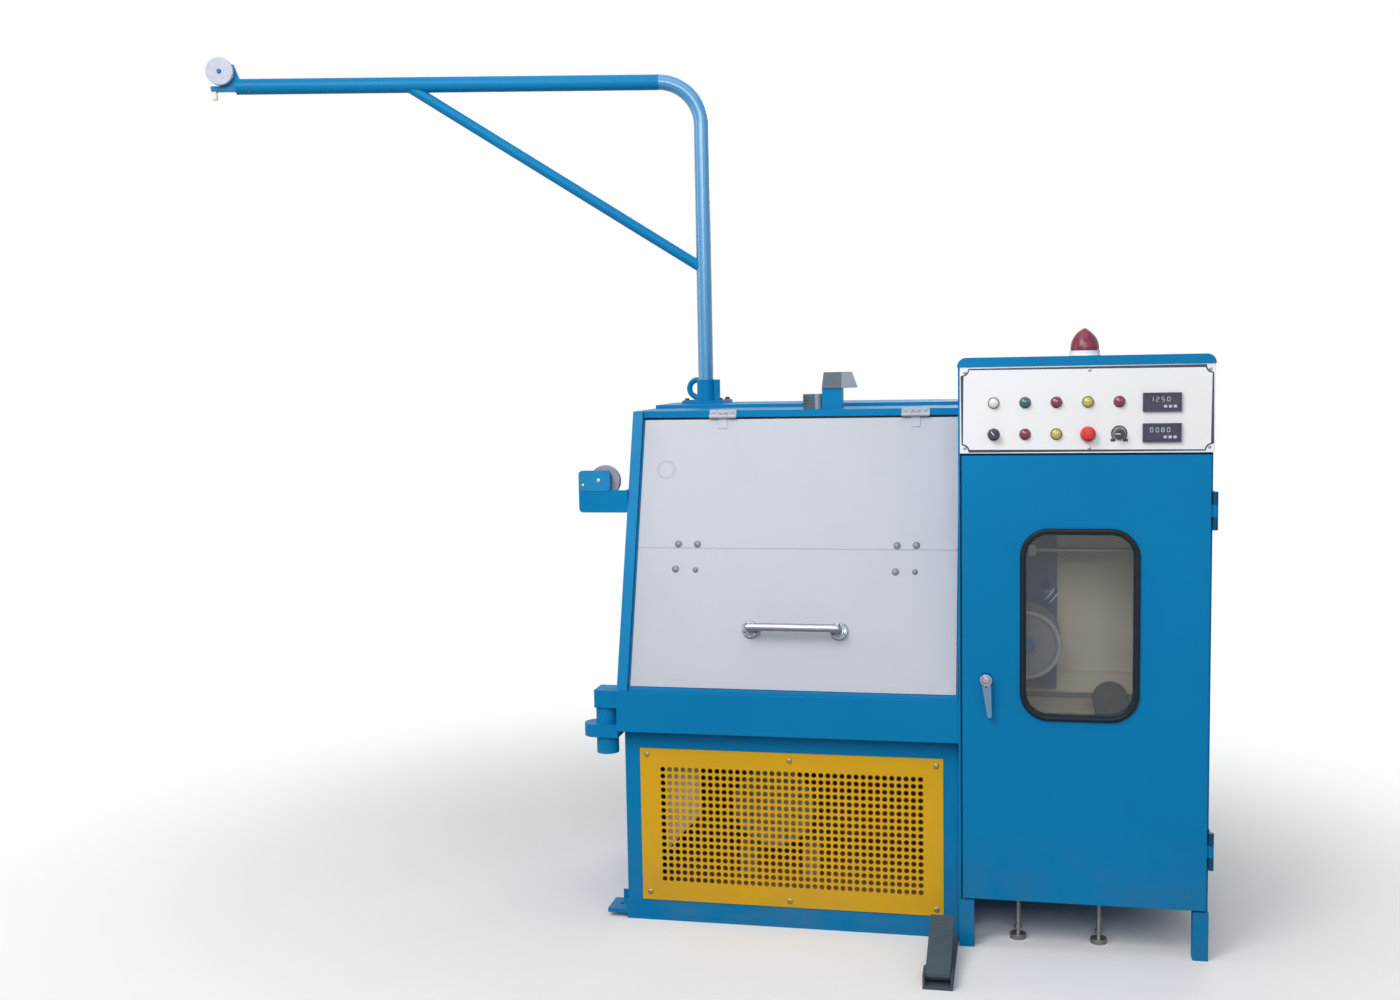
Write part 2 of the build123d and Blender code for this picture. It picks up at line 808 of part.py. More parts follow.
def make_cover_handle():
    """Round bar on two flanged posts, one solid."""
    v = seam_line - handle_drop
    bar = cover_rod(handle_middle, v, handle_bar_radius, handle_spacing, cover_outer + handle_stand_off)
    shape = bar
    for side in (-1, 1):
        x = handle_middle + side * handle_spacing / 2
        flange = cover_plane * (Pos(x, v, cover_outer + handle_flange_thickness / 2)
                                * Cylinder(handle_flange_radius, handle_flange_thickness))
        post = cover_plane * (Pos(x, v, cover_outer + handle_stand_off / 2)
                              * Cylinder(handle_bar_radius, handle_stand_off))
        corner = cover_plane * (Pos(x, v, cover_outer + handle_stand_off) * Sphere(handle_bar_radius))
        shape = shape + flange + post + corner
    return shape


# Overhead arm

arm_direction = (-cos(radians(arm_swing)), -sin(radians(arm_swing)), 0)


def along_arm(distance, height=arm_height):
    return (mast_place[0] + arm_direction[0] * distance, mast_place[1] + arm_direction[1] * distance, height)


arm_tip = Plane(origin=along_arm(arm_pipe_reach), x_dir=arm_direction, z_dir=(0, 0, 1))


def make_mast_pipe():
    """Upright pipe with the quarter bend at its top."""
    x, y = mast_place
    foot = rail_top + mast_plate_thickness
    path = Line((x, y, foot), (x, y, arm_height - bend_radius))
    middle = Vector(*along_arm(bend_radius, arm_height - bend_radius))
    half = Vector(-arm_direction[0], -arm_direction[1], 1).normalized()
    turn = ThreePointArc(path @ 1, middle + half * bend_radius, along_arm(bend_radius))
    upright = rod((x, y, foot), (0, 0, 1), pipe_radius, arm_height - bend_radius - foot)
    section = Plane(origin=path @ 1, z_dir=(0, 0, 1)) * Circle(pipe_radius)
    bend = sweep(section, path=turn)
    return upright + bend


def at_tip(along, side, height):
    """Place from the end of the arm's pipe: along the arm, towards the front and up."""
    return Pos(along, side, height)


def make_arm_pipe():
    """Level pipe, its flat bar, and the cheek and axle that carry the end pulley."""
    pipe = rod(along_arm(bend_radius), arm_direction, pipe_radius, arm_pipe_reach - bend_radius)
    bar = at_tip(tip_bar_length / 2, 0, -tip_bar_drop) * Box(tip_bar_length, tip_bar_width, tip_bar_height)
    u, h = end_pulley_reach, end_pulley_rise
    outline = [(u + along, tip_bar_width / 2, h + up) for along, up in tip_cheek_outline]
    face = make_face(Polyline(outline, close=True))
    cheek = extrude(face, amount=tip_cheek_thickness, dir=(0, -1, 0))
    to_front = Rot(-90, 0, 0)
    boss_length = end_pulley_offset - end_pulley_width / 2 - side_running_gap - tip_bar_width / 2
    boss = at_tip(u, tip_bar_width / 2 + boss_length / 2, h) * (to_front * Cylinder(tip_boss_radius, boss_length))
    axle_length = end_pulley_offset + end_pulley_width / 2 + tip_axle_head - tip_bar_width / 2 + tip_cheek_thickness
    axle_start = tip_bar_width / 2 - tip_cheek_thickness
    axle = at_tip(u, axle_start + axle_length / 2, h) * (to_front * Cylinder(tip_axle_radius, axle_length))
    return pipe + arm_tip * (bar + cheek + boss + axle)


def make_arm_guide():
    """Ceramic guide that leads the wire off the pulley, under the end of the flat bar."""
    start = at_tip(tip_bar_length - wire_guide_radius, 0, -tip_bar_drop - tip_bar_height / 2)
    ring = Cylinder(wire_guide_radius, wire_guide_length, align=(Align.CENTER, Align.CENTER, Align.MAX))
    ring = ring - Cylinder(wire_guide_bore, 3 * wire_guide_length)
    return arm_tip * (start * ring)


def grooved_wheel(radius, width, groove, bore):
    """Pulley about the Y axis with a V groove."""
    half = width / 2
    rim = width / 8
    outline = [(bore, -half), (radius - 1, -half), (radius, rim - half), (radius - groove, 0), (radius, half - rim),
               (radius - 1, half), (bore, half)]
    return revolve(make_face(Polyline(outline, close=True)), Axis.Y)


def make_arm_pulley():
    wheel = grooved_wheel(end_pulley_radius, end_pulley_width, pulley_groove, tip_axle_radius + pipe_fit_gap)
    return arm_tip * (at_tip(end_pulley_reach, end_pulley_offset, end_pulley_rise) * wheel)


def make_arm_brace():
    low = Vector(mast_place[0], mast_place[1], brace_mast_height)
    high = Vector(*along_arm(brace_arm_place))
    run = high - low
    bar = rod(tuple(low), tuple(run), brace_radius, run.length)
    upright = rod((mast_place[0], mast_place[1], body_top), (0, 0, 1), pipe_radius, arm_height - body_top)
    level = rod(along_arm(0), arm_direction, pipe_radius, arm_pipe_reach)
    return bar - upright - level


def make_mast_base():
    """Plate with the clamping sleeve and its screw."""
    x, y = mast_place
    foot = rail_top + mast_plate_thickness
    plate = slab(x - mast_plate_width / 2, x + mast_plate_width / 2, y - mast_plate_front, y + mast_plate_back,
                 rail_top, foot)
    ear = slab(x, x + sleeve_radius + sleeve_ear_width, y - sleeve_ear_thickness / 2, y + sleeve_ear_thickness / 2,
               foot, foot + sleeve_height)
    sleeve = rod((x, y, foot), (0, 0, 1), sleeve_radius, sleeve_height)
    bore = rod((x, y, foot), (0, 0, 1), pipe_radius + pipe_fit_gap, sleeve_height)
    return plate + (sleeve + ear - bore)


def make_lifting_eye():
    x, y = mast_place
    foot = rail_top + mast_plate_thickness
    ex, ey = x - eye_offset, y + eye_behind
    section = Pos(eye_radius - eye_bar_radius, 0) * Circle(eye_bar_radius)
    ring = Pos(ex, ey, foot + eye_radius) * revolve(section, Axis.Y)
    neck = rod((ex, ey, foot), (0, 0, 1), eye_bar_radius * 1.4, eye_bar_radius)
    return ring + neck


stop_front = opened_face(body_top + stop_height) + cover_rest_gap / lean_cos + stop_inset


def make_stop_post():
    return slab(stop_left, stop_left + stop_width, stop_front, stop_front + stop_depth, body_top,
                body_top + stop_height)


def head_section(height, left_inset, wing):
    """Outline of the rest's head at a height, with a wing on its right side."""
    y0 = opened_face(height) + cover_rest_gap / lean_cos
    y1 = stop_front + stop_head_depth
    x0, x1 = stop_left + left_inset, stop_left + stop_width
    points = [(x0, y0), (x1, y0), (x1 + wing, y0 + wing), (x1 + wing, y1), (x0, y1)]
    return make_face(Polyline([(x, y, height) for x, y in points], close=True))


def make_stop_pad():
    """Leaning rubber head on the post, and the short round buffer beside it."""
    z0 = body_top + stop_height
    low = head_section(z0, 0, stop_head_wing)
    high = head_section(z0 + stop_head_height, stop_inset, stop_head_wing - stop_head_wing_slope)
    head = loft([low, high], ruled=True)
    buffer = rod((buffer_place[0], buffer_place[1], body_top), (0, 0, 1), buffer_radius, buffer_height)
    return [head, buffer]


# Left side fittings

drain_top = tray_top
drain_x = body_left - drain_pipe_inset
drain_y = tray_front + drain_box_setback + drain_box_depth / 2


def make_drain_outlet():
    y0 = tray_front + drain_box_setback
    box_bottom = drain_top - drain_box_height
    box = slab(body_left - drain_box_width, body_left, y0, y0 + drain_box_depth, box_bottom, drain_top)
    pipe = rod((drain_x, drain_y, box_bottom), (0, 0, -1), drain_pipe_radius, drain_pipe_length)
    half = drain_pipe_radius + drain_flange_margin
    top = drain_top - drain_flange_drop
    round_end = rod((body_left - drain_flange_width + half, drain_y, top), (0, 0, -1), half, drain_flange_thickness)
    straight = slab(body_left - drain_flange_width + half, body_left, drain_y - half, drain_y + half,
                    top - drain_flange_thickness, top)
    bore = rod((drain_x, drain_y, drain_top - drain_box_height / 2), (0, 0, -1), drain_pipe_radius - drain_pipe_wall,
               drain_pipe_length + drain_box_height)
    return box + pipe + round_end + straight - bore


inlet_front = post_line(inlet_height) + inlet_setback
inlet_axle_x = body_left - inlet_axle_reach
inlet_axle_z = inlet_height + inlet_axle_rise


def make_inlet_bracket():
    y0, y1 = inlet_front, inlet_front + inlet_bar_thickness
    x0 = body_left - inlet_bar_length
    z0 = inlet_height
    z1 = z0 + inlet_bar_height
    bar = upright_plate(inlet_bar_length, inlet_bar_height, inlet_corner, (x0 + inlet_bar_length / 2, (z0 + z1) / 2),
                        y0, y1)
    root = slab(x0 + inlet_bar_length / 2, body_left, y0, y1, z0, z1)
    plate_height = inlet_plate_height + 2 * inlet_corner
    plate = upright_plate(inlet_plate_width, plate_height, inlet_corner,
                          (x0 + inlet_plate_width / 2, z1 + inlet_plate_height - plate_height / 2), y0, y1)
    pad = slab(body_left - inlet_pad_width, body_left, y0, y0 + inlet_pad_depth, z0, z1)
    boss_length = inlet_pulley_gap - side_running_gap
    boss = rod((inlet_axle_x, y1, inlet_axle_z), (0, 1, 0), 2 * inlet_axle_radius, boss_length)
    axle = rod((inlet_axle_x, y0, inlet_axle_z), (0, 1, 0), inlet_axle_radius,
               inlet_bar_thickness + inlet_pulley_gap + inlet_pulley_width + inlet_axle_head)
    return bar + root + plate + pad + boss + axle


def make_inlet_pulley():
    y = inlet_front + inlet_bar_thickness + inlet_pulley_gap + inlet_pulley_width / 2
    wheel = grooved_wheel(inlet_pulley_radius, inlet_pulley_width, pulley_groove, inlet_axle_radius + pipe_fit_gap)
    return Pos(inlet_axle_x, y, inlet_axle_z) * wheel


# Cabinet

def make_cabinet_sides():
    z0, z1 = cabinet_bottom + cabinet_floor, cabinet_top
    left_wall = slab(right, right + cabinet_wall, cabinet_front, cabinet_back - cabinet_wall, z0, z1)
    y0 = cabinet_front + door_thickness + door_back_gap
    right_wall = slab(cabinet_right - cabinet_wall, cabinet_right, y0, cabinet_back - cabinet_wall, z0, z1)
    return [left_wall, right_wall]


def make_cabinet_back():
    return slab(right, cabinet_right, cabinet_back - cabinet_wall, cabinet_back, cabinet_bottom, cabinet_top)


def make_cabinet_floor():
    y0 = cabinet_front + door_thickness + door_back_gap
    return slab(right, cabinet_right, y0, cabinet_back - cabinet_wall, cabinet_bottom, cabinet_bottom + cabinet_floor)


def make_cabinet_legs():
    legs = []
    for x in (right, cabinet_right - leg_size):
        for y in (cabinet_front + leg_setback, cabinet_back - cabinet_wall - leg_size):
            legs.append(slab(x, x + leg_size, y, y + leg_size, 0, cabinet_bottom))
    return legs


def make_levelling_feet():
    feet = []
    for x in foot_places:
        for y in (cabinet_front + foot_front, cabinet_back - foot_back):
            pad = rod((right + x, y, 0), (0, 0, 1), foot_radius, foot_pad_height)
            stud = rod((right + x, y, foot_pad_height), (0, 0, 1), foot_stud_radius, cabinet_bottom - foot_pad_height)
            seat = Plane(origin=(right + x, y, foot_pad_height + foot_nut_lift), z_dir=(0, 0, 1))
            nut = extrude(seat * RegularPolygon(foot_nut_radius, 6), amount=foot_nut_height)
            feet.append(pad + stud + nut)
    return feet


def make_control_box():
    y0 = cabinet_front + panel_thickness
    rim = door_thickness - panel_thickness
    shape = slab(right + cabinet_wall, cabinet_right - cabinet_wall, y0 + rim, y0 + control_box_depth, panel_bottom,
                 cabinet_top)
    front_rim = slab(right + cabinet_wall, cabinet_right, y0, y0 + rim, panel_bottom, cabinet_top)
    shape = shape + front_rim
    for column in shaft_columns:
        centre = (right + button_columns[column], y0, button_rows[1])
        shape = shape - rod(centre, (0, 1, 0), stem_radius + stem_gap + panel_thickness, stem_length + stem_room)
    return shape


def make_control_panel():
    y0 = cabinet_front
    plate = slab(right + cabinet_wall, cabinet_right, y0, y0 + panel_thickness, panel_bottom, cabinet_top)
    for column in shaft_columns:
        centre = (right + button_columns[column], y0, button_rows[1])
        plate = plate - rod(centre, (0, 1, 0), stem_radius + stem_gap, panel_thickness)
    return plate


def make_panel_buttons():
    """Lamps and push buttons: a chamfered bezel and a domed lens in one turned piece."""
    fittings = []
    places = [(k, 0) for k in range(5)] + [(1, 1), (2, 1)]
    r, h = button_radius, button_height
    rim, cut, dome = button_bezel, button_chamfer, button_dome
    profile = [(0, 0), (r, 0), (r, rim), (r - cut, rim + cut), (r - rim, rim + cut), (r - rim, h - dome),
               (r - rim - dome, h - dome / 4), (0, h)]
    for column, row in places:
        place = (right + button_columns[column], cabinet_front, button_rows[row])
        fittings.append(turned(profile, place, FACING_FRONT))
    return fittings


def make_panel_meters():
    """Two standard meters: a bezel with a sunk face."""
    meters = []
    x0 = right + meter_left
    for top in meter_tops:
        block = slab(x0, x0 + meter_width, cabinet_front - meter_depth, cabinet_front, top - meter_height, top)
        face = slab(x0 + meter_bezel, x0 + meter_width - meter_bezel, cabinet_front - meter_depth,
                    cabinet_front - meter_depth + meter_sink, top - meter_height + meter_bezel, top - meter_bezel)
        meters.append(block - face)
    return meters


def panel_knob(column):
    """Knob with a skirt, a grip and a shaft through the panel."""
    place = (right + button_columns[column], cabinet_front - knob_lift, button_rows[1])
    r, h = knob_radius, knob_height
    skirt, cut = knob_skirt, knob_chamfer
    profile = [(0, 0), (r + cut, 0), (r + cut, skirt), (r, skirt + cut), (r - cut / 2, h - cut), (r - skirt, h), (0, h)]
    stem = rod((place[0], place[1], place[2]), (0, 1, 0), stem_radius, stem_length)
    return turned(profile, place, FACING_FRONT) + stem


def make_selector_knob():
    return panel_knob(0)


def make_speed_knob():
    return panel_knob(4)


def make_stop_button():
    """Mushroom head on its stem."""
    place = (right + button_columns[3], cabinet_front, button_rows[1])
    r, h = stop_button_radius, stop_button_height
    low, neck, rim = stop_button_under, stop_button_neck, stop_button_rim
    profile = [(0, low), (stem_radius + neck, low), (r - 1, low + neck), (r, low + rim), (r - 2, low + 2 * rim - 1),
               (r - rim, h - 1), (0, h)]
    stem = rod((place[0], place[1] - low - 1, place[2]), (0, 1, 0), stem_radius, low + 1 + stem_length)
    return turned(profile, place, FACING_FRONT) + stem


def make_cabinet_cap():
    x0, x1 = right - cap_overlap, cabinet_right + cap_overlap
    y0, y1 = cabinet_front - cap_overlap, cabinet_back + cap_overlap
    cap = slab(x0, x1, y0, y1, cabinet_top, cabinet_top + cap_height)
    return fillet(cap.edges().filter_by(Axis.Y).group_by(Axis.Z)[-1], cap_round)


beacon_x = right + beacon_place[0]
beacon_y = cabinet_front + beacon_place[1]
cap_top = cabinet_top + cap_height


def make_beacon_base():
    r, h = beacon_base_radius, beacon_base_height
    flange, step = beacon_base_flange, beacon_base_step
    profile = [(0, 0), (r + step, 0), (r + step, flange), (r, flange + step), (r, h), (0, h)]
    return turned(profile, (beacon_x, beacon_y, cap_top), FACING_UP)


def make_beacon():
    """Pointed dome lens: a short skirt and an arc up to a blunt tip."""
    r = beacon_radius
    rise = beacon_height - beacon_skirt
    run = r - beacon_tip
    arc_radius = (run * run + rise * rise) / (2 * run)
    half_angle = atan2(rise, arc_radius - run) / 2
    middle = (r - arc_radius + arc_radius * cos(half_angle), beacon_skirt + arc_radius * sin(half_angle))
    arc = ThreePointArc((r, beacon_skirt), middle, (beacon_tip, beacon_height))
    sides = Polyline([(beacon_tip, beacon_height), (0, beacon_height), (0, 0), (r, 0), (r, beacon_skirt)])
    dome = revolve(make_face([sides, arc]), Axis.Y)
    return Pos(beacon_x, beacon_y, cap_top + beacon_base_height) * (FACING_UP * dome)


# Door

door_x0 = right + door_left_gap
door_x1 = cabinet_right - door_right_gap
door_z0 = cabinet_bottom + door_bottom_gap
door_top = panel_bottom - door_top_gap
door_pin = (cabinet_right + door_hinge_side, door_front + door_hinge_forward)


def window_shape(inset, y0, y1):
    """Block with rounded corners over the window, made smaller by an inset."""
    w, h = window_width - 2 * inset, window_height - 2 * inset
    centre = (right + window_left + window_width / 2, y0, window_bottom + window_height / 2)
    face = Plane(origin=centre, x_dir=(1, 0, 0), z_dir=(0, 1, 0)) * RectangleRounded(w, h, window_corner - inset)
    return extrude(face, amount=y1 - y0)


def make_door():
    y0, y1 = door_front, door_front + door_thickness
    pan = slab(door_x0, door_x1, y0, y1, door_z0, door_top)
    hollow = slab(door_x0 + door_sheet, door_x1 - door_sheet, y0 + door_sheet, y1, door_z0 + door_sheet,
                  door_top - door_sheet)
    pan = pan - hollow
    frame = window_shape(-window_frame, y0, y1) - window_shape(gasket_width, y0, y1)
    pan = pan - window_shape(gasket_width, y0 - 1, y1 + 1) + frame
    lx, lz = lever_place
    at = (right + lx, y0 - 1, lz)
    boss = rod((at[0], y0, lz), (0, 1, 0), lever_shaft_radius + lever_boss, door_thickness)
    pan = pan + boss - rod(at, (0, 1, 0), lever_shaft_radius + stem_gap, door_thickness + 2)
    x, y = door_pin
    for z in door_hinge_places:
        third = door_hinge_height / 3
        barrel = rod((x, y, z - third / 2 + hinge_end_gap), (0, 0, 1), door_hinge_radius, third - 2 * hinge_end_gap)
        half_leaf = door_hinge_inner_leaf / 2
        leaf = slab(door_x1 - door_hinge_inset, x, y - half_leaf, y + half_leaf, z - third / 2 + hinge_end_gap,
                    z + third / 2 - hinge_end_gap)
        bore = rod((x, y, z - door_hinge_height / 2), (0, 0, 1), door_hinge_pin + hinge_running_gap, door_hinge_height)
        pan = pan + barrel + leaf - bore
    return pan


def make_door_hinges():
    """Fixed halves of the door hinges, with their pins."""
    x, y = door_pin
    leaf_back = cabinet_front + door_hinge_leaf_depth
    halves = []
    for z in door_hinge_places:
        third = door_hinge_height / 3
        half = rod((x, y, z - door_hinge_height / 2), (0, 0, 1), door_hinge_pin, door_hinge_height)
        for side in (-1, 1):
            z0 = z + side * third - third / 2
            barrel = rod((x, y, z0), (0, 0, 1), door_hinge_radius, third)
            leaf = slab(cabinet_right, cabinet_right + door_hinge_leaf, y, leaf_back, z0, z0 + third)
            half = half + barrel + leaf
        spine = slab(cabinet_right, cabinet_right + door_hinge_leaf, leaf_back - door_hinge_spine, leaf_back,
                     z - door_hinge_height / 2, z + door_hinge_height / 2)
        halves.append(half + spine)
    return halves


def make_window_gasket():
    y0 = door_front - gasket_proud
    return window_shape(0, y0, door_front) - window_shape(gasket_width, y0 - 1, door_front + 1)


def make_window_glass():
    y0 = door_front + glass_setback
    return window_shape(gasket_width, y0, y0 + glass_thickness)


def make_door_lever():
    x, z = right + lever_place[0], lever_place[1]
    y0 = door_front
    r, h = lever_hub_radius, lever_hub_height
    shaft = rod((x, y0 - knob_lift, z), (0, 1, 0), lever_shaft_radius, door_thickness)
    top = h + lever_thickness
    hub = turned([(0, 0), (r, 0), (r, h - lever_hub_edge), (r - lever_hub_edge, top), (0, top)],
                 (x, y0 - knob_lift, z), FACING_FRONT)
    grip_face = Plane(origin=(x, y0 - knob_lift - h, z), x_dir=(1, 0, 0), z_dir=(0, -1, 0))
    half_top, half_tip = lever_top_width / 2, lever_tip_width / 2
    grip = make_face(Polyline([(-half_top, 0), (half_top, 0), (half_tip, -lever_length), (-half_tip, -lever_length)],
                              close=True)) + Pos(0, -lever_length) * Circle(half_tip)
    arm = extrude(grip_face * (Rot(0, 0, lever_tilt) * grip), amount=lever_thickness)
    return shaft + hub + arm


# Inside the cabinet

inner_wall_y = cabinet_front + inner_wall_depth
carrier_y = inner_wall_y - carrier_depth
spool_y = cabinet_front + spool_front
spool_x = right + spool_place[0]
spool_z = spool_place[1]


def make_inner_panel():
    """Back wall of the take-up space with its folded strips, and the shelf."""
    x0, x1 = right + cabinet_wall, cabinet_right - cabinet_wall
    floor = cabinet_bottom + cabinet_floor
    wall = slab(x0, x1, inner_wall_y, inner_wall_y + inner_wall_thickness, floor, panel_bottom)
    strip = slab(x0, x1, inner_wall_y - inner_strip, inner_wall_y, inner_strip_bottom, inner_strip_top)
    skirt = slab(x0, x1, inner_wall_y - inner_strip, inner_wall_y, floor, inner_skirt_top)
    shelf = slab(x0, x1, cabinet_front + shelf_front, inner_wall_y, shelf_top - shelf_thickness, shelf_top)
    return wall + strip + skirt + shelf


def guide_roller():
    """Small roller on a post, tilted so that it leads the wire down to the spool."""
    x, z = right + guide_place[0], guide_place[1]
    y = cabinet_front + guide_depth
    across = (cos(radians(guide_tilt)), 0, -sin(radians(guide_tilt)))
    wheel = grooved_wheel(guide_radius, guide_width, guide_groove, guide_pin_radius / 2)
    wheel = Pos(x, y, z) * Rot(0, guide_tilt, 0) * Rot(0, 0, 90) * wheel
    step = guide_width / 2 + guide_post_gap + guide_post_radius
    px, pz = x - across[0] * step, z - across[2] * step
    post = rod((px, carrier_y, pz), (0, -1, 0), guide_post_radius, carrier_y - y + guide_post_radius)
    pin = rod((px, y, pz), across, guide_pin_radius, step + guide_width / 2 + guide_post_gap)
    return post + pin + wheel


def make_inner_carrier():
    """Box on the back wall that carries the spindle and the guide roller."""
    box = slab(right + cabinet_wall, right + carrier_right, carrier_y, inner_wall_y - inner_strip, carrier_bottom,
               panel_bottom)
    rest = slab(right + cabinet_wall, right + carrier_right, inner_wall_y - inner_strip, inner_wall_y,
                inner_strip_top, panel_bottom)
    collar_length = carrier_y - spool_y - spool_length - side_running_gap
    collar = rod((spool_x, carrier_y, spool_z), (0, -1, 0), spindle_collar_radius, collar_length)
    nose_y = spool_y - side_running_gap
    spindle = rod((spool_x, carrier_y, spool_z), (0, -1, 0), spindle_radius, carrier_y - nose_y)
    nose = turned([(0, 0), (spindle_nose_radius, 0), (spindle_nose_radius, spindle_nose_length / 2),
                   (spindle_radius, spindle_nose_length), (0, spindle_nose_length)],
                  (spool_x, nose_y, spool_z), FACING_FRONT)
    return box + [rest, collar, spindle, nose, guide_roller()]


def make_take_up_spool():
    """Spool with dished flanges, turned in one piece."""
    bore, length = spindle_radius + pipe_fit_gap, spool_length
    r, b, f = spool_flange_radius, spool_barrel_radius, spool_flange
    ring, hub = r - spool_rim, spool_hub_radius
    half = [(bore, 0), (hub, 0), (hub + spool_dish, spool_dish), (ring - spool_dish, spool_dish), (ring, 0),
            (r - f / 5, 0), (r, f / 5), (r, f - f / 5), (r - f / 5, f), (b, f)]
    other = [(radius, length - at) for radius, at in reversed(half)]
    return turned(half + other, (spool_x, spool_y, spool_z), FACING_BACK)


def make_traverse_rod():
    """Level rod above the spool, from a block on the carrier to the right side."""
    y, z = cabinet_front + traverse_depth, traverse_height
    x0 = right + traverse_block_left
    half = 2 * traverse_radius
    block = slab(x0, x0 + traverse_block, y - half, carrier_y, z - half, z + half)
    x1 = cabinet_right - cabinet_wall
    bar = rod((x0, y, z), (1, 0, 0), traverse_radius, x1 - x0)
    collar = rod((x1 - traverse_collar, y, z), (1, 0, 0), traverse_collar_radius, traverse_collar)
    return block + bar + collar


def make_traverse_motor():
    """Round motor that lies on the shelf, with its end to the front."""
    x, y, z = right + drum_left, cabinet_front + drum_front, shelf_top + drum_radius
    drum = rod((x, y, z), (0, 1, 0), drum_radius, drum_length)
    drum = fillet(drum.edges().group_by(Axis.Y)[0], drum_round)
    hub = rod((x, y, z), (0, -1, 0), drum_radius / 3, drum_round)
    foot = slab(x - drum_foot_width / 2, x + drum_foot_width / 2, y + drum_round, y + drum_length - drum_round,
                shelf_top, shelf_top + drum_foot_height)
    return drum + hub + foot


# Foot pedal

pedal_x0 = right + pedal_left
pedal_x1 = pedal_x0 + pedal_width
pedal_y1 = cabinet_front + pedal_back
pedal_y0 = pedal_y1 - pedal_length


def make_pedal_base():
    plate = slab(pedal_x0, pedal_x1, pedal_y0, front, 0, pedal_base_thickness)
    z = treadle_front_height - treadle_thickness
    for x in (pedal_x0, pedal_x1 - pedal_cheek):
        cheek = slab(x, x + pedal_cheek, pedal_y0, pedal_y0 + pedal_cheek_length, 0, z + pedal_cheek_rise)
        plate = plate + cheek
    pin = rod((pedal_x0, pedal_y0 + pedal_pin_place, z), (1, 0, 0), pedal_pin_radius, pedal_width)
    return plate + pin


def make_pedal_treadle():
    """Sloping plate whose eye turns on the pin."""
    z = treadle_front_height - treadle_thickness
    pin_y = pedal_y0 + pedal_pin_place
    x0, x1 = pedal_x0 + pedal_cheek + pedal_side_gap, pedal_x1 - pedal_cheek - pedal_side_gap
    outline = [(pedal_y0 + pedal_nose, z + 2), (pedal_y0 + pedal_nose, z + treadle_thickness),
               (pedal_y1, treadle_back_height), (pedal_y1, treadle_back_height - treadle_thickness),
               (pin_y + pedal_eye + pedal_nose, z + 4), (pin_y + pedal_eye, z + 1 - pedal_eye),
               (pin_y - pedal_eye, z + 1 - pedal_eye)]
    shape = side_shape(outline, x0, x1)
    return shape - rod((x0 - 1, pin_y, z), (1, 0, 0), pedal_pin_radius + hinge_running_gap, x1 - x0 + 2)


nodes = {
    "base_plate": make_base_plate, "lower_sides": make_lower_sides, "lower_back": make_lower_back,
    "lower_front": make_lower_front, "guard": make_guard, "motor": make_motor, "tray": make_tray,
    "upper_sides": make_upper_sides, "back_panel": make_back_panel, "top_plate": make_top_plate,
    "drawing_plate": make_drawing_plate, "capstans": make_capstans, "cover_hinges": make_cover_hinges,
    "upper_cover": make_upper_cover, "lower_cover": make_lower_cover, "cover_handle": make_cover_handle,
    "mast_base": make_mast_base, "lifting_eye": make_lifting_eye, "mast_pipe": make_mast_pipe,
    "arm_pipe": make_arm_pipe, "arm_brace": make_arm_brace, "arm_guide": make_arm_guide, "arm_pulley": make_arm_pulley,
    "stop_post": make_stop_post, "stop_pad": make_stop_pad, "drain_outlet": make_drain_outlet, "inlet_bracket": make_inlet_bracket,
    "inlet_pulley": make_inlet_pulley, "cabinet_sides": make_cabinet_sides, "cabinet_back": make_cabinet_back,
    "cabinet_floor": make_cabinet_floor, "cabinet_legs": make_cabinet_legs, "levelling_feet": make_levelling_feet,
    "control_box": make_control_box, "control_panel": make_control_panel, "panel_buttons": make_panel_buttons,
    "panel_meters": make_panel_meters, "stop_button": make_stop_button, "cabinet_cap": make_cabinet_cap,
    "beacon": make_beacon, "beacon_base": make_beacon_base, "door": make_door, "door_hinges": make_door_hinges,
    "window_gasket": make_window_gasket, "window_glass": make_window_glass, "door_lever": make_door_lever,
    "inner_panel": make_inner_panel,
    "take_up_spool": make_take_up_spool, "inner_carrier": make_inner_carrier, "traverse_rod": make_traverse_rod,
    "traverse_motor": make_traverse_motor, "hanger_plate": make_hanger_plate, "pedal_base": make_pedal_base,
    "pedal_treadle": make_pedal_treadle, "selector_knob": make_selector_knob, "speed_knob": make_speed_knob,
}

for name, make in nodes.items():
    made = make()
    solids = made if isinstance(made, list) else [made]
    if len(solids) == 1:
        export_step(solids[0], f"parts/{name}.step")
    else:
        export_step(Compound(children=solids), f"parts/{name}.step")
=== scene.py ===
"""Looks of the fine wire drawing machine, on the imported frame."""
import json
import random
from math import cos, pi, radians, sin, tau

import bmesh
import bpy
from mathutils import Matrix, Vector
from mathutils.bvhtree import BVHTree


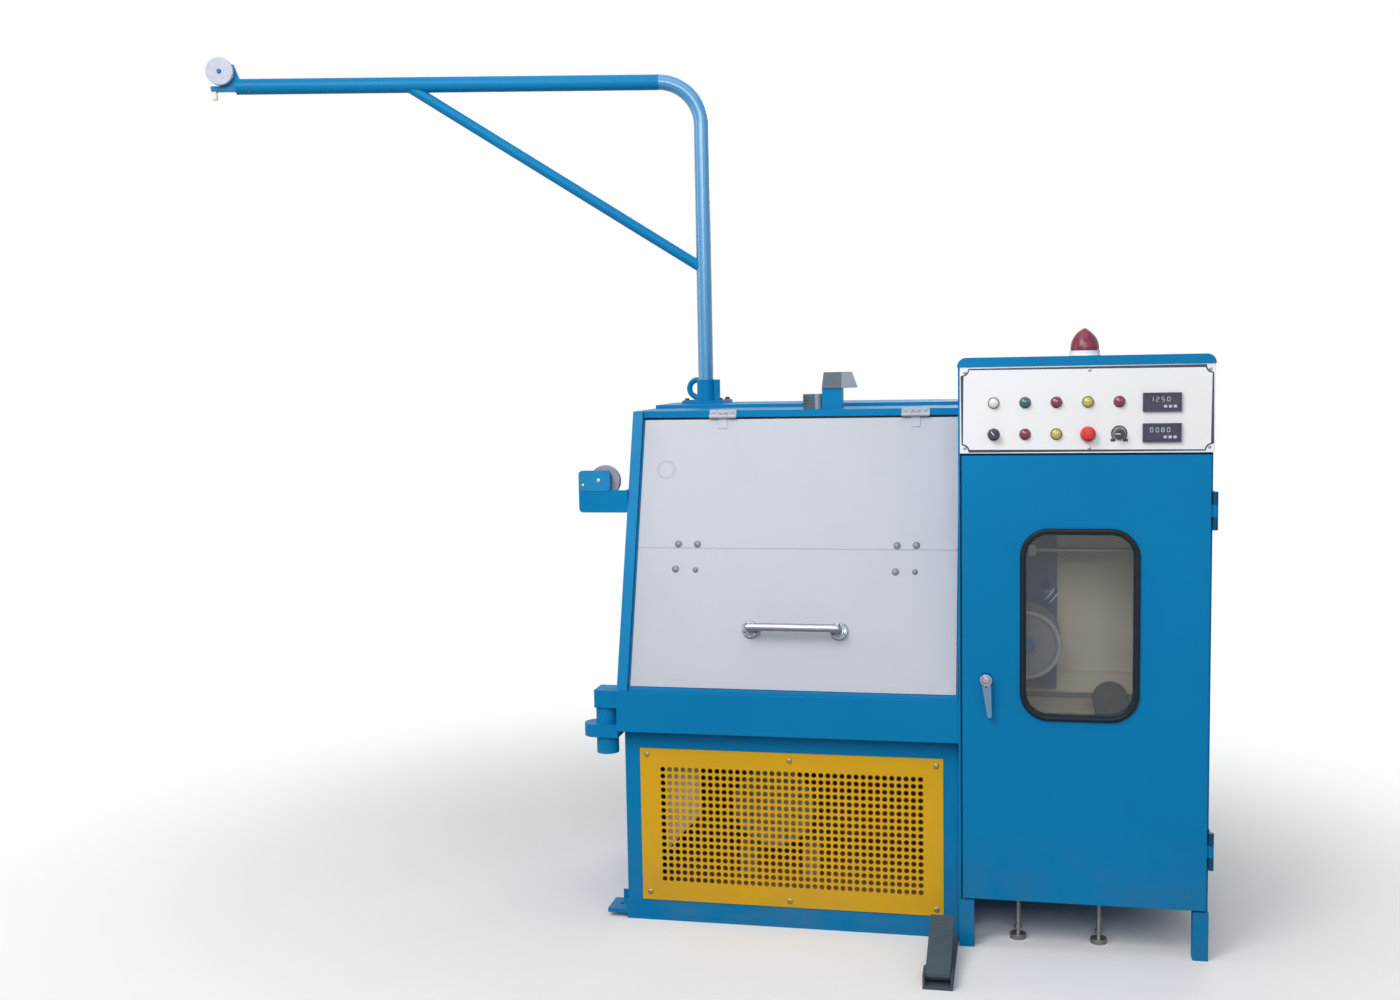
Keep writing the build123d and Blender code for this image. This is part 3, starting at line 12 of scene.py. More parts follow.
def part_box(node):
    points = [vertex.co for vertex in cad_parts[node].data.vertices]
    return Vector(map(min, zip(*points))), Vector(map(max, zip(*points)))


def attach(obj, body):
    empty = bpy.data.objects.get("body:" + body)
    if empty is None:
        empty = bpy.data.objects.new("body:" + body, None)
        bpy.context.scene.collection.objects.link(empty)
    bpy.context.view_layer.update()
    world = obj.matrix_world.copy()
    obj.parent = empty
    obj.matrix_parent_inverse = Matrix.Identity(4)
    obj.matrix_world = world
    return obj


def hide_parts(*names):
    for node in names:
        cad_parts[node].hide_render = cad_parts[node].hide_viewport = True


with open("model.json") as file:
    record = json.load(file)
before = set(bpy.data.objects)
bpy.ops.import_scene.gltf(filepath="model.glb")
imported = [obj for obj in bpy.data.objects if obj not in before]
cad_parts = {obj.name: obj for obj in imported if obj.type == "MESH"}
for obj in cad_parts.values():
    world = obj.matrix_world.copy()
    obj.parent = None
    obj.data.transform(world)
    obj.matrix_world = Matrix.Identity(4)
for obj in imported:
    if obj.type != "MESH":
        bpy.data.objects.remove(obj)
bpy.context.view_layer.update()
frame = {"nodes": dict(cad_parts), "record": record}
nodes = frame["nodes"]
chance = random.Random(7)

MM = 0.001
AHEAD = -3000.0  # mm, in front of the whole machine
FRONT, BACK, UP, DOWN = (0, -1, 0), (0, 1, 0), (0, 0, 1), (0, 0, -1)
ACROSS = Vector((1, 0, 0))
WHITE = (1.0, 1.0, 1.0)
DUST = (0.16, 0.15, 0.13)

# Faces of a bar between two outlines of four points
SIDE_FACES = [(0, 1, 5, 4), (1, 2, 6, 5), (2, 3, 7, 6), (3, 0, 4, 7)]
TOP_FACE = (4, 5, 6, 7)
BAR_FACES = SIDE_FACES + [(3, 2, 1, 0), TOP_FACE]

# Places of the panel's controls in mm: columns from the cabinet's left side, rows from the ground
COLUMNS = (93.0, 174.0, 254.0, 334.0, 413.0)
ROWS = (1485.0, 1402.0)

# Bars of a seven segment digit that are lit
SEGMENTS = {"0": "abcdef", "1": "bc", "2": "abged", "5": "afgcd", "8": "abcdefg"}


# Node graphs and materials

class Graph:
    """Node tree of one material or world, with short calls to add and link nodes."""

    def __init__(self, name, world=False):
        owners = bpy.data.worlds if world else bpy.data.materials
        self.owner = owners.new(name)
        self.owner.use_nodes = True
        self.tree = self.owner.node_tree
        self.tree.nodes.clear()
        self.out = self.add("OutputWorld" if world else "OutputMaterial")

    def put(self, socket, value):
        if isinstance(value, bpy.types.NodeSocket):
            self.tree.links.new(value, socket)
        elif isinstance(value, (tuple, list)) and len(value) == 3 and socket.type == "RGBA":
            socket.default_value = (*value, 1.0)
        else:
            socket.default_value = value

    def add(self, kind, inputs=None, **settings):
        node = self.tree.nodes.new("ShaderNode" + kind)
        for key, value in settings.items():
            setattr(node, key, value)
        for key, value in (inputs or {}).items():
            self.put(node.inputs[key], value)
        return node

    def place(self):
        return self.add("TexCoord").outputs["Object"]

    def scaled(self, vector, scale):
        return self.add("Mapping", {"Vector": vector, "Scale": scale}).outputs["Vector"]

    def noise(self, vector, scale, detail=3.0, rough=0.55):
        node = self.add("TexNoise", {"Vector": vector, "Scale": scale, "Detail": detail, "Roughness": rough})
        return node.outputs["Fac"]

    def span(self, value, low, high, to_low=0.0, to_high=1.0, kind="LINEAR"):
        node = self.add("MapRange", {"Value": value, "From Min": low, "From Max": high, "To Min": to_low,
                                     "To Max": to_high}, interpolation_type=kind)
        return node.outputs["Result"]

    def math(self, kind, a, b):
        return self.add("Math", {0: a, 1: b}, operation=kind).outputs[0]

    def mix(self, factor, a, b):
        node = self.add("Mix", data_type="RGBA")
        self.put(node.inputs[0], factor)
        self.put(node.inputs[6], a)
        self.put(node.inputs[7], b)
        return node.outputs[2]

    def soft_edge(self, radius):
        return self.add("Bevel", {"Radius": radius}, samples=4).outputs["Normal"]

    def bump(self, height, strength, distance=0.0002, edge=None):
        """Relief on the surface, over edges rounded by a radius in metres."""
        inputs = {"Height": height, "Strength": strength, "Distance": distance}
        if edge:
            inputs["Normal"] = self.soft_edge(edge)
        return self.add("Bump", inputs).outputs["Normal"]

    def surface(self, inputs):
        shader = self.add("BsdfPrincipled", inputs)
        self.tree.links.new(shader.outputs[0], self.out.inputs["Surface"])
        return self.owner

    def blend(self, share, first, second):
        """The output is one shader, and by a share the other."""
        mixed = self.add("MixShader", {0: share, 1: first.outputs[0], 2: second.outputs[0]})
        self.tree.links.new(mixed.outputs[0], self.out.inputs["Surface"])
        return self.owner

    def rays(self):
        """Two factors: the background seen as such or through glass, and that or a mirror image of it."""
        path = self.add("LightPath").outputs
        direct = self.math("MAXIMUM", path["Is Camera Ray"], path["Is Transmission Ray"])
        return direct, self.math("MAXIMUM", direct, path["Is Glossy Ray"])


def shade(colour, factor):
    """Colour made darker or lighter, and no lighter than white."""
    return tuple(min(1.0, c * factor) for c in colour)


def paint(name, colour, rough=0.36, tone=0.07, gloss=0.16, peel=0.10, dust=0.22, coat=0.0, marks=0.4):
    """Sprayed enamel: faint tone changes, orange peel, handling marks and dust low down."""
    g = Graph(name)
    p = g.place()
    broad = g.noise(p, 1.7, 2.0)
    fine = g.noise(p, 23.0, 4.0)
    base = g.mix(g.span(broad, 0.3, 0.7), shade(colour, 1.0 - tone), shade(colour, 1.0 + tone))
    smudge = g.span(fine, 0.45, 0.75, 0.0, 0.35)
    base = g.mix(g.math("MULTIPLY", smudge, 0.25), base, shade(colour, 0.85))
    height = g.add("SeparateXYZ", {"Vector": p}).outputs["Z"]
    low_down = g.span(height, 0.0, 0.35, dust, 0.0)
    grime = g.math("MULTIPLY", low_down, g.span(g.noise(p, 9.0, 5.0), 0.35, 0.7))
    base = g.mix(grime, base, DUST)
    roughness = g.math("ADD", rough, g.math("MULTIPLY", smudge, marks))
    normal = g.bump(g.noise(p, 420.0, 1.0), peel, edge=0.0012)
    return g.surface({"Base Color": base, "Roughness": roughness, "Normal": normal, "IOR": 1.5,
                      "Specular IOR Level": gloss, "Coat Weight": coat, "Coat Roughness": 0.22})


def steel(name, colour, rough=0.32, along=(1.0, 1.0, 40.0), tone=0.12, metallic=1.0):
    """Metal with fine lines of grinding or turning and faint stains."""
    g = Graph(name)
    p = g.place()
    lines = g.noise(g.scaled(p, along), 30.0, 4.0, 0.65)
    stain = g.noise(p, 4.0, 4.0)
    base = g.mix(g.span(lines, 0.3, 0.7), shade(colour, 1.0 - tone), colour)
    base = g.mix(g.span(stain, 0.5, 0.8, 0.0, 0.3), base, shade(colour, 0.8))
    roughness = g.span(lines, 0.2, 0.8, rough - 0.06, rough + 0.10)
    normal = g.bump(lines, 0.10, edge=0.0008)
    return g.surface({"Base Color": base, "Roughness": roughness, "Metallic": metallic, "Normal": normal})


def plastic(name, colour, rough=0.35, tone=0.12, grain=0.1, scale=600.0, emit=0.0, gloss=0.5):
    """Moulded plastic, rubber or ceramic with a fine grain."""
    g = Graph(name)
    p = g.place()
    spots = g.noise(p, 60.0, 3.0)
    base = g.mix(g.span(spots, 0.3, 0.7), shade(colour, 1.0 - tone), shade(colour, 1.0 + tone))
    roughness = g.span(g.noise(p, 40.0, 4.0), 0.3, 0.7, rough - 0.05, rough + 0.08)
    normal = g.bump(g.noise(p, scale, 1.0), grain, edge=0.0006)
    return g.surface({"Base Color": base, "Roughness": roughness, "Normal": normal,
                      "Emission Color": colour, "Emission Strength": emit, "Specular IOR Level": gloss})


def lens(name, colour, depth=0.35, coat=0.3, rough=0.14):
    """Coloured lens of a lamp: glossy, with fine ribs moulded inside."""
    g = Graph(name)
    p = g.place()
    wave = g.add("TexWave", {"Vector": p, "Scale": 180.0, "Distortion": 0.0}, bands_direction="Z")
    ribs = wave.outputs["Fac"]
    base = g.mix(g.span(ribs, 0.2, 0.8), shade(colour, 1.0 - depth), colour)
    normal = g.bump(ribs, 0.15)
    return g.surface({"Base Color": base, "Roughness": rough, "Normal": normal, "Coat Weight": coat,
                      "Coat Roughness": 0.05})


def window_pane(name):
    """Clear sheet that lets light through and mirrors at low angles."""
    g = Graph(name)
    p = g.place()
    clear = g.add("BsdfTransparent", {"Color": (0.965, 0.975, 0.97)})
    film = g.span(g.noise(p, 6.0, 4.0), 0.3, 0.8, 0.03, 0.10)
    gloss = g.add("BsdfGlossy", {"Color": WHITE, "Roughness": film})
    ratio = g.add("Fresnel", {"IOR": 1.5}).outputs[0]
    return g.blend(g.math("MULTIPLY", ratio, 0.9), clear, gloss)


def rubber_with_painted_lit_side(name):
    """Dark rubber on the faces that take the cover; the faces cut at a slant that look to the right are
    painted pale, which is painted light.
    """
    g = Graph(name)
    p = g.place()
    normal = g.add("NewGeometry").outputs["Normal"]
    across = g.add("SeparateXYZ", {"Vector": normal}).outputs["X"]
    grain = g.noise(p, 140.0, 4.0)
    dark = g.mix(g.span(grain, 0.3, 0.7), (0.045, 0.075, 0.10), (0.07, 0.105, 0.135))
    pale = g.mix(g.span(grain, 0.3, 0.7), (0.34, 0.37, 0.40), (0.44, 0.47, 0.50))
    # Painted light: faces turned to the right take the pale tone, the others keep the dark rubber
    base = g.mix(g.span(across, 0.30, 0.45), dark, pale)
    soft = g.bump(grain, 0.2, 0.0004, edge=0.0012)
    return g.surface({"Base Color": base, "Roughness": 0.6, "Normal": soft})


BLUE = (0.0020, 0.195, 0.440)
blue = paint("machine_blue", BLUE, gloss=0.09)
# Lighter copy of the machine blue, painted light, for the inlet's face plate and the strips behind the door
# and cover gaps
blue_painted_lighter = paint("blue_painted_lighter", (0.016, 0.235, 0.500), gloss=0.12)
# Warm brown of the sheets in the motor's compartment is painted bounce light seen through the guard's holes
painted_bounce_brown = plastic("painted_bounce_brown", (0.80, 0.46, 0.16), rough=0.8, grain=0.4, scale=200.0)
arm_blue = paint("arm_blue", BLUE, rough=0.38, tone=0.03, gloss=0.14, peel=0.03)
# Mast: same paint as the arm, with a lighter base colour as a painted highlight; its gloss and coat are real
mast_blue_painted_highlight = paint("mast_blue_painted_highlight", (0.012, 0.230, 0.480), rough=0.30, tone=0.03, gloss=0.8, peel=0.03, coat=0.7,
                  marks=0.05)
dark_blue = paint("hinge_blue", (0.004, 0.065, 0.165), rough=0.4)
yellow = paint("guard_yellow", (0.70, 0.39, 0.014), rough=0.38, tone=0.06)
white = paint("panel_white", (0.84, 0.85, 0.875), rough=0.30, tone=0.03, dust=0.0)
cream = paint("inner_cream", (0.82, 0.73, 0.57), rough=0.5, tone=0.10)
# Inner wall bands: the dark grey strip is a painted shadow line, the brown skirt below it painted shade
painted_shadow_grey = paint("painted_shadow_grey", (0.16, 0.165, 0.17), rough=0.5)
painted_shade_brown = paint("painted_shade_brown", (0.44, 0.39, 0.32), rough=0.55, tone=0.12)
# Stamped ring on the cover: a darker copy of the stainless, painted shade of its thin relief
stamp_painted_shade = plastic("stamp_painted_shade", (0.36, 0.38, 0.43), rough=0.5)
motor_paint = paint("motor_olive", (0.74, 0.75, 0.56), rough=0.45)
slate_paint = paint("slate", (0.060, 0.095, 0.120), rough=0.5, dust=0.3)
carrier_paint = paint("carrier_blue_grey", (0.070, 0.150, 0.310), rough=0.45, gloss=0.1)
drum_paint = paint("drum_slate", (0.045, 0.060, 0.085), rough=0.5)
spool_grey = paint("spool_grey", (0.190, 0.205, 0.250), rough=0.42)
# Grey hanger plate behind the guard raised to near white: painted light for the little light that reaches it
hanger_painted_light = paint("hanger_grey_painted_light", (0.90, 0.90, 0.84), rough=0.5)
stainless = steel("cover_stainless", (0.435, 0.458, 0.515), rough=0.55, along=(1.0, 30.0, 30.0), tone=0.04,
                  metallic=0.12)
chrome = steel("chrome", (0.36, 0.37, 0.44), rough=0.24, tone=0.12)
ring_chrome = steel("ring_chrome", (0.27, 0.30, 0.34), rough=0.22)
# Blue tint of the door lever's metal is a painted reflection
lever_painted_reflection = steel("satin_chrome", (0.16, 0.29, 0.46), rough=0.26, tone=0.15, along=(40.0, 40.0, 1.0))
zinc = steel("zinc", (0.40, 0.40, 0.40), rough=0.38)
ground_steel = steel("ground_steel", (0.42, 0.43, 0.47), rough=0.33)
# Near white of the guide roller's cheeks and the fan cover's rim is a painted highlight
painted_highlight_white = plastic("painted_highlight_white", (0.80, 0.81, 0.80), rough=0.3, tone=0.05)
rim_grey = plastic("rim_grey", (0.29, 0.30, 0.33), rough=0.4)
wheel_grey = plastic("wheel_grey", (0.27, 0.28, 0.34), rough=0.4)
rod_grey = steel("rod_grey", (0.22, 0.23, 0.25), rough=0.4, metallic=0.5)
guard_screw = steel("guard_screw", (0.44, 0.36, 0.20), rough=0.36)
pulley_grey = plastic("pulley_grey", (0.42, 0.46, 0.57), rough=0.4, tone=0.06)
dark_steel = steel("dark_steel", (0.085, 0.088, 0.095), rough=0.48, metallic=0.7)
dull_steel = steel("dull_steel", (0.19, 0.195, 0.22), rough=0.42, metallic=0.6)
ceramic = plastic("ceramic_cream", (0.74, 0.70, 0.58), rough=0.25, tone=0.05)
rubber = plastic("gasket_rubber", (0.010, 0.016, 0.024), rough=0.42, grain=0.3, gloss=0.16)
rubber_painted_lit_side = rubber_with_painted_lit_side("stop_rubber_painted_lit_side")
black = plastic("black_plastic", (0.018, 0.020, 0.024), rough=0.35)
grey_plastic = plastic("grey_plastic", (0.42, 0.45, 0.46), rough=0.42)
meter_face = plastic("meter_face", (0.028, 0.031, 0.066), rough=0.30, tone=0.08)
meter_dark = plastic("meter_dark", (0.040, 0.026, 0.045), rough=0.25, tone=0.08)
meter_light = plastic("meter_light", (0.40, 0.50, 0.62), rough=0.4, emit=0.15)
key_grey = plastic("key_grey", (0.50, 0.54, 0.62), rough=0.4)
ink = plastic("panel_ink", (0.030, 0.032, 0.070), rough=0.5)
knob_navy = plastic("knob_navy", (0.022, 0.024, 0.060), rough=0.38)
knob_slate = plastic("knob_slate", (0.13, 0.14, 0.19), rough=0.45)
beacon_red = lens("beacon_red", (0.24, 0.008, 0.046), 0.45, coat=0.05, rough=0.3)
stop_red = plastic("stop_red", (0.62, 0.022, 0.025), rough=0.28)
lamp_white = lens("lamp_white", (0.72, 0.74, 0.72), 0.12)
lamp_green = lens("lamp_green", (0.014, 0.13, 0.15))
lamp_red = lens("lamp_red", (0.26, 0.012, 0.060))
lamp_yellow = lens("lamp_yellow", (0.52, 0.48, 0.085), 0.2)
pane = window_pane("window_pane")

# Finish of each material slot, and of the nodes that differ from theirs
finishes = {
    "blue_paint": blue, "yellow_paint": yellow, "motor_grey": motor_paint, "machined_steel": ground_steel,
    "ceramic_cream": ceramic, "stainless": stainless, "chrome": chrome, "zinc": zinc, "rubber": rubber,
    "grey_plastic": grey_plastic, "panel_white": white, "black_plastic": black, "red_plastic": beacon_red,
    "clear_glass": pane, "cream_paint": cream, "slate_paint": slate_paint, "grey_paint": hanger_painted_light,
}
own_finish = {"door_hinges": dark_blue, "stop_pad": rubber_painted_lit_side, "stop_button": stop_red, "door_lever": lever_painted_reflection,
              "selector_knob": knob_navy, "speed_knob": knob_slate, "panel_meters": meter_face,
              "mast_pipe": mast_blue_painted_highlight, "arm_pipe": arm_blue, "arm_brace": arm_blue, "arm_pulley": pulley_grey,
              "inlet_pulley": wheel_grey, "cover_hinges": stainless, "traverse_rod": rod_grey,
              "inner_carrier": carrier_paint, "traverse_motor": drum_paint, "take_up_spool": spool_grey}
for part in frame["record"]["subparts"]:
    name = part["node"]
    finish = own_finish.get(name, finishes[part["material_slot"]])
    skin = nodes[name]
    skin.data.materials.clear()
    skin.data.materials.append(finish)


# Shapes

def piece(name, verts, faces, material, body, smooth=False, slot=None):
    """Mesh object in metres that rides on a body."""
    mesh = bpy.data.meshes.new(name)
    mesh.from_pydata([tuple(v) for v in verts], [], faces)
    mesh.update()
    made = bpy.data.objects.new(name, mesh)
    bpy.context.scene.collection.objects.link(made)
    mesh.materials.append(material)
    if smooth:
        mesh.shade_smooth()
        mesh.set_sharp_from_angle(angle=radians(35))
    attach(made, body)
    return made


def joined(name, parts, material, body, smooth=False, slot=None):
    """One piece from several pairs of vertices and faces."""
    verts, faces = [], []
    for some_verts, some_faces in parts:
        base = len(verts)
        verts += some_verts
        faces += [tuple(i + base for i in f) for f in some_faces]
    return piece(name, verts, faces, material, body, smooth, slot)


def ring_points(origin, direction, radius, along, count, turn=0.0):
    """Points on a circle across a direction, with its radius and distance from the origin in mm."""
    d = Vector(direction).normalized()
    helper = Vector((0, 0, 1)) if abs(d.z) < 0.9 else Vector((1, 0, 0))
    a = d.cross(helper).normalized()
    b = d.cross(a).normalized()
    centre = Vector(origin) + d * along * MM
    angles = [turn + tau * k / count for k in range(count)]
    return [centre + (a * cos(t) + b * sin(t)) * radius * MM for t in angles]


def lathe_mesh(profile, origin, direction, steps=32):
    """Vertices and faces of a turned piece from (radius, distance) points in mm."""
    verts, faces, rings = [], [], []
    for radius, along in profile:
        count = 1 if radius < 1e-6 else steps
        rings.append(range(len(verts), len(verts) + count))
        verts += ring_points(origin, direction, radius, along, count)
    for low, high in zip(rings, rings[1:]):
        for k in range(steps):
            j = (k + 1) % steps
            if len(low) == 1 < len(high):
                faces.append((low[0], high[k], high[j]))
            elif len(high) == 1 < len(low):
                faces.append((low[j], low[k], high[0]))
            elif len(low) > 1:
                faces.append((low[k], high[k], high[j], low[j]))
    return verts, faces


def lathe(name, profile, origin, direction, material, body, steps=32, slot=None):
    piece(name, *lathe_mesh(profile, origin, direction, steps), material, body, True, slot)


def taken(mesh):
    """Vertices and faces of a bmesh, which is freed."""
    mesh.verts.index_update()
    verts = [v.co.copy() for v in mesh.verts]
    faces = [tuple(v.index for v in f.verts) for f in mesh.faces]
    mesh.free()
    return verts, faces


def block_mesh(low, high, bevel=0.0):
    """Vertices and faces of a box in metres, with its edges cut by a bevel in mm."""
    mesh = bmesh.new()
    bmesh.ops.create_cube(mesh, size=1.0)
    size = Vector(high) - Vector(low)
    for v in mesh.verts:
        v.co = Vector(low) + Vector((size[k] * (v.co[k] + 0.5) for k in range(3)))
    if bevel > 0:
        bmesh.ops.bevel(mesh, geom=mesh.edges[:], offset=bevel * MM, segments=2, affect="EDGES", profile=0.5)
    return taken(mesh)


def block(name, low, high, material, body, bevel=0.0, slot=None):
    piece(name, *block_mesh(low, high, bevel), material, body, False, slot)


def screw_mesh(place, direction, head=6.0, rise=3.2, turn=0.4):
    """Button head with a hexagon socket, as vertices and faces."""
    steps, sides = 24, 6
    share = steps // sides
    socket = head * 0.42
    profile = [(head, 0.0), (head, rise * 0.25), (head * 0.86, rise * 0.72), (head * 0.62, rise * 0.98),
               (socket, rise)]
    verts, faces = lathe_mesh(profile, place, direction, steps)
    base, last = len(verts), (len(profile) - 1) * steps
    for depth in (rise, rise * 0.35):
        verts += ring_points(place, direction, socket * 0.92, depth, sides, turn)
    faces += [(base + k, base + (k + 1) % sides, base + sides + (k + 1) % sides, base + sides + k)
              for k in range(sides)]
    faces.append(tuple(base + sides + k for k in range(sides)))
    shift = int(round(turn / tau * steps))
    for k in range(sides):
        near, far = base + k, base + (k + 1) % sides
        rim = [last + (share * k + s + shift) % steps for s in range(share + 1)]
        for s in range(share):
            faces.append((rim[s], rim[s + 1], near if s < share // 2 else far))
        faces.append((near, rim[share // 2], far))
    return verts, faces


def screws(name, places, direction, material, body, head=6.0, rise=3.2, slot="zinc"):
    """Several screws in one piece, each turned its own way."""
    step = tau / 24
    joined(name, [screw_mesh(p, direction, head, rise, step * chance.randrange(4)) for p in places],
           material, body, True, slot)


def arc_points(x, z, radius, start, end, steps):
    """Points of (x, z) on an arc between two angles in degrees."""
    points = []
    for k in range(steps + 1):
        t = radians(start + (end - start) * k / steps)
        points.append((x + radius * cos(t), z + radius * sin(t)))
    return points


def rounded_path(x0, x1, z0, z1, radius, steps=12):
    """Closed rounded rectangle of (x, z) points in metres."""
    left, right, low, high = x0 + radius, x1 - radius, z0 + radius, z1 - radius
    points = []
    for cx, cz, start in ((right, high, 0), (left, high, 90), (left, low, 180), (right, low, 270)):
        points += arc_points(cx, cz, radius, start, start + 90, steps)
    return points


def plate_mesh(points, front, back):
    """Upright sheet with an outline of (x, z) points, between two values of y."""
    count = len(points)
    verts = [Vector((x, y, z)) for y in (front, back) for x, z in points]
    faces = [tuple(range(count)), tuple(range(2 * count - 1, count - 1, -1))]
    faces += [(k, count + k, count + (k + 1) % count, (k + 1) % count) for k in range(count)]
    return verts, faces


trees = {}  # search trees of the nodes that touch() has met


def touch(node, start, direction):
    """Point in metres where a ray from a place in mm first meets a node, and the face normal there."""
    if node not in trees:
        mesh = nodes[node].data
        trees[node] = BVHTree.FromPolygons([v.co for v in mesh.vertices],
                                           [tuple(f.vertices) for f in mesh.polygons])
    place, normal = trees[node].ray_cast(Vector(start) * MM, Vector(direction))[:2]
    if place is None:
        raise ValueError(f"nothing of {node} in line with {start}")
    return place, normal


# Guard and control panel

def build_guard():
    """Yellow plate with its field of round holes, and six screws."""
    low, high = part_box("guard")
    columns, rows = 38, 17
    pitch_x, pitch_z = 19.8 * MM, 20.1 * MM
    radius, shift = 7.2 * MM, 2 * MM
    steps = 16
    quarter = steps // 4
    x0 = (low.x + high.x) / 2 + shift - columns * pitch_x / 2
    z0 = (low.z + high.z) / 2 + shift - rows * pitch_z / 2
    x1, z1 = x0 + columns * pitch_x, z0 + rows * pitch_z
    centres = [(x0 + (c + 0.5) * pitch_x, z0 + (r + 0.5) * pitch_z)
               for c in range(columns) for r in range(rows)]
    angles = [tau * k / steps + pi / 4 for k in range(steps)]
    mesh = bmesh.new()

    def add_points(spots, y):
        return [mesh.verts.new((x, y, z)) for x, z in spots]

    def add_ring(cx, cz, y):
        return add_points([(cx + radius * cos(t), cz + radius * sin(t)) for t in angles], y)

    inner = [(x0, z0), (x1, z0), (x1, z1), (x0, z1)]
    outer = [(low.x, low.z), (high.x, low.z), (high.x, high.z), (low.x, high.z)]
    for y in (low.y, high.y):
        for cx, cz in centres:
            ring = add_ring(cx, cz, y)
            corners = add_points([(cx + sx * pitch_x / 2, cz + sz * pitch_z / 2)
                                  for sx, sz in ((1, 1), (-1, 1), (-1, -1), (1, -1))], y)
            for q in range(4):
                arc = [ring[(q * quarter + s) % steps] for s in range(quarter + 1)]
                mesh.faces.new([corners[q]] + arc + [corners[(q + 1) % 4]])
        for q in range(4):
            n = (q + 1) % 4
            mesh.faces.new(add_points([outer[q], outer[n], inner[n], inner[q]], y))
    bmesh.ops.remove_doubles(mesh, verts=mesh.verts[:], dist=1e-6)
    for cx, cz in centres:
        front, back = add_ring(cx, cz, low.y), add_ring(cx, cz, high.y)
        for k in range(steps):
            j = (k + 1) % steps
            mesh.faces.new((front[k], front[j], back[j], back[k]))
    for q in range(4):
        edge = [outer[q], outer[(q + 1) % 4]]
        mesh.faces.new(add_points(edge, low.y) + add_points(edge[::-1], high.y))
    bmesh.ops.remove_doubles(mesh, verts=mesh.verts[:], dist=1e-6)
    bmesh.ops.recalc_face_normals(mesh, faces=mesh.faces[:])
    plate = piece("guard_plate", *taken(mesh), yellow, "machine", False, "yellow_paint")
    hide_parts("guard")
    places = [(x * MM, low.y, z * MM) for x, z in
              ((-410, 490), (2, 486), (411, 487), (-408, 85), (-1, 80), (411, 80))]
    screws("guard_screws", places, FRONT, guard_screw, "machine", 8.0, 3.8)


def build_panel():
    """Lamps and their bezels, the printed line, meters, dial, pointers and screws."""
    low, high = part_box("control_panel")
    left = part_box("cabinet_back")[0].x
    front = low.y
    lenses = {(0, 0): lamp_white, (1, 0): lamp_green, (2, 0): lamp_red, (3, 0): lamp_yellow, (4, 0): lamp_red,
              (1, 1): lamp_red, (2, 1): lamp_yellow}
    rim = [(12.9, 0.0), (15.0, 0.0), (15.0, 2.6), (14.4, 4.2), (13.4, 4.6), (12.9, 4.0), (12.9, 0.0)]
    cap = [(12.7, 0.5), (12.7, 8.0), (12.0, 10.4), (9.0, 12.6), (4.0, 13.8), (0.0, 14.0)]
    parts = []
    for (column, row), colour in lenses.items():
        place = (left + COLUMNS[column] * MM, front, ROWS[row] * MM)
        parts.append(lathe_mesh(rim, place, FRONT))
        lathe(f"lamp_{column + 1}_{row + 1}", cap, place, FRONT, colour, "machine", slot="grey_plastic")
    bezels = joined("button_bezels", parts, dark_steel, "machine", True, "grey_plastic")
    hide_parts("panel_buttons")
    build_border(low.x, high.x, low.z, high.z, front)
    build_meters(left)
    build_dial(left, front)
    build_pointers(left)
    middle = left + 338 * MM
    places = [(x, front, z) for z in (low.z + 14 * MM, high.z - 14 * MM)
              for x in (low.x + 13 * MM, high.x - 13 * MM)]
    places += [(middle, front, low.z + 12 * MM), (middle, front, high.z - 12 * MM)]
    screws("panel_screws", places, FRONT, chrome, "machine", 4.6, 2.2, "chrome")


def ribbon(name, points, width, front, material, slot, closed=True):
    """Thin raised line of one width through (x, z) points, on a face that looks to the front."""
    count = len(points)
    verts, faces = [], []
    y, sunk = front - 0.15 * MM, front + 0.1 * MM
    for k, (x, z) in enumerate(points):
        before = points[k - 1] if closed or k > 0 else points[k]
        after = points[(k + 1) % count] if closed or k < count - 1 else points[k]
        run = Vector((after[0] - before[0], after[1] - before[1])).normalized()
        first = Vector((x - before[0], z - before[1]))
        stretch = 1.0
        if first.length > 1e-9:
            stretch = 1.0 / max(0.5, abs(first.normalized().dot(run)))
        across = Vector((-run.y, run.x)) * (width / 2 * stretch)
        verts += [(x + across.x, y, z + across.y), (x - across.x, y, z - across.y),
                  (x - across.x, sunk, z - across.y), (x + across.x, sunk, z + across.y)]
    for k in range(count if closed else count - 1):
        j = (k + 1) % count
        for s in range(4):
            n = (s + 1) % 4
            faces.append((4 * k + n, 4 * k + s, 4 * j + s, 4 * j + n))
    if not closed:
        last = 4 * (count - 1)
        faces += [(0, 1, 2, 3), (last + 3, last + 2, last + 1, last)]
    piece(name, verts, faces, material, "machine", False, slot)


def build_border(x0, x1, z0, z1, front):
    """Thin printed line round the panel, with concave notches at its corners."""
    inset, notch = 6 * MM, 17 * MM
    left, right, low, high = x0 + inset, x1 - inset, z0 + inset, z1 - inset
    points = []
    for cx, cz, start in ((left, low, 90), (right, low, 180), (right, high, 270), (left, high, 360)):
        points += arc_points(cx, cz, notch, start, start - 90, 10)
    ribbon("panel_border", points, 3.8 * MM, front, ink, "black_plastic")


def digit_bars(symbol, x, z, width, height):
    """Rectangles of a seven segment digit as (x0, x1, z0, z1)."""
    t = width * 0.18
    half = height / 2
    bars = {"a": (t, width - t, height - t, height), "d": (t, width - t, 0, t),
            "g": (t, width - t, half - t / 2, half + t / 2), "f": (0, t, half, height - t / 2),
            "b": (width - t, width, half, height - t / 2), "e": (0, t, t / 2, half),
            "c": (width - t, width, t / 2, half)}
    return [(x + a, x + b, z + c, z + d) for key, (a, b, c, d) in bars.items() if key in SEGMENTS[symbol]]


def panel_block(x, z, width, height, front, back, bevel=0.0):
    """Block with its place and size in mm."""
    return block_mesh(Vector((x, front, z)) * MM, Vector((x + width, back, z + height)) * MM, bevel)


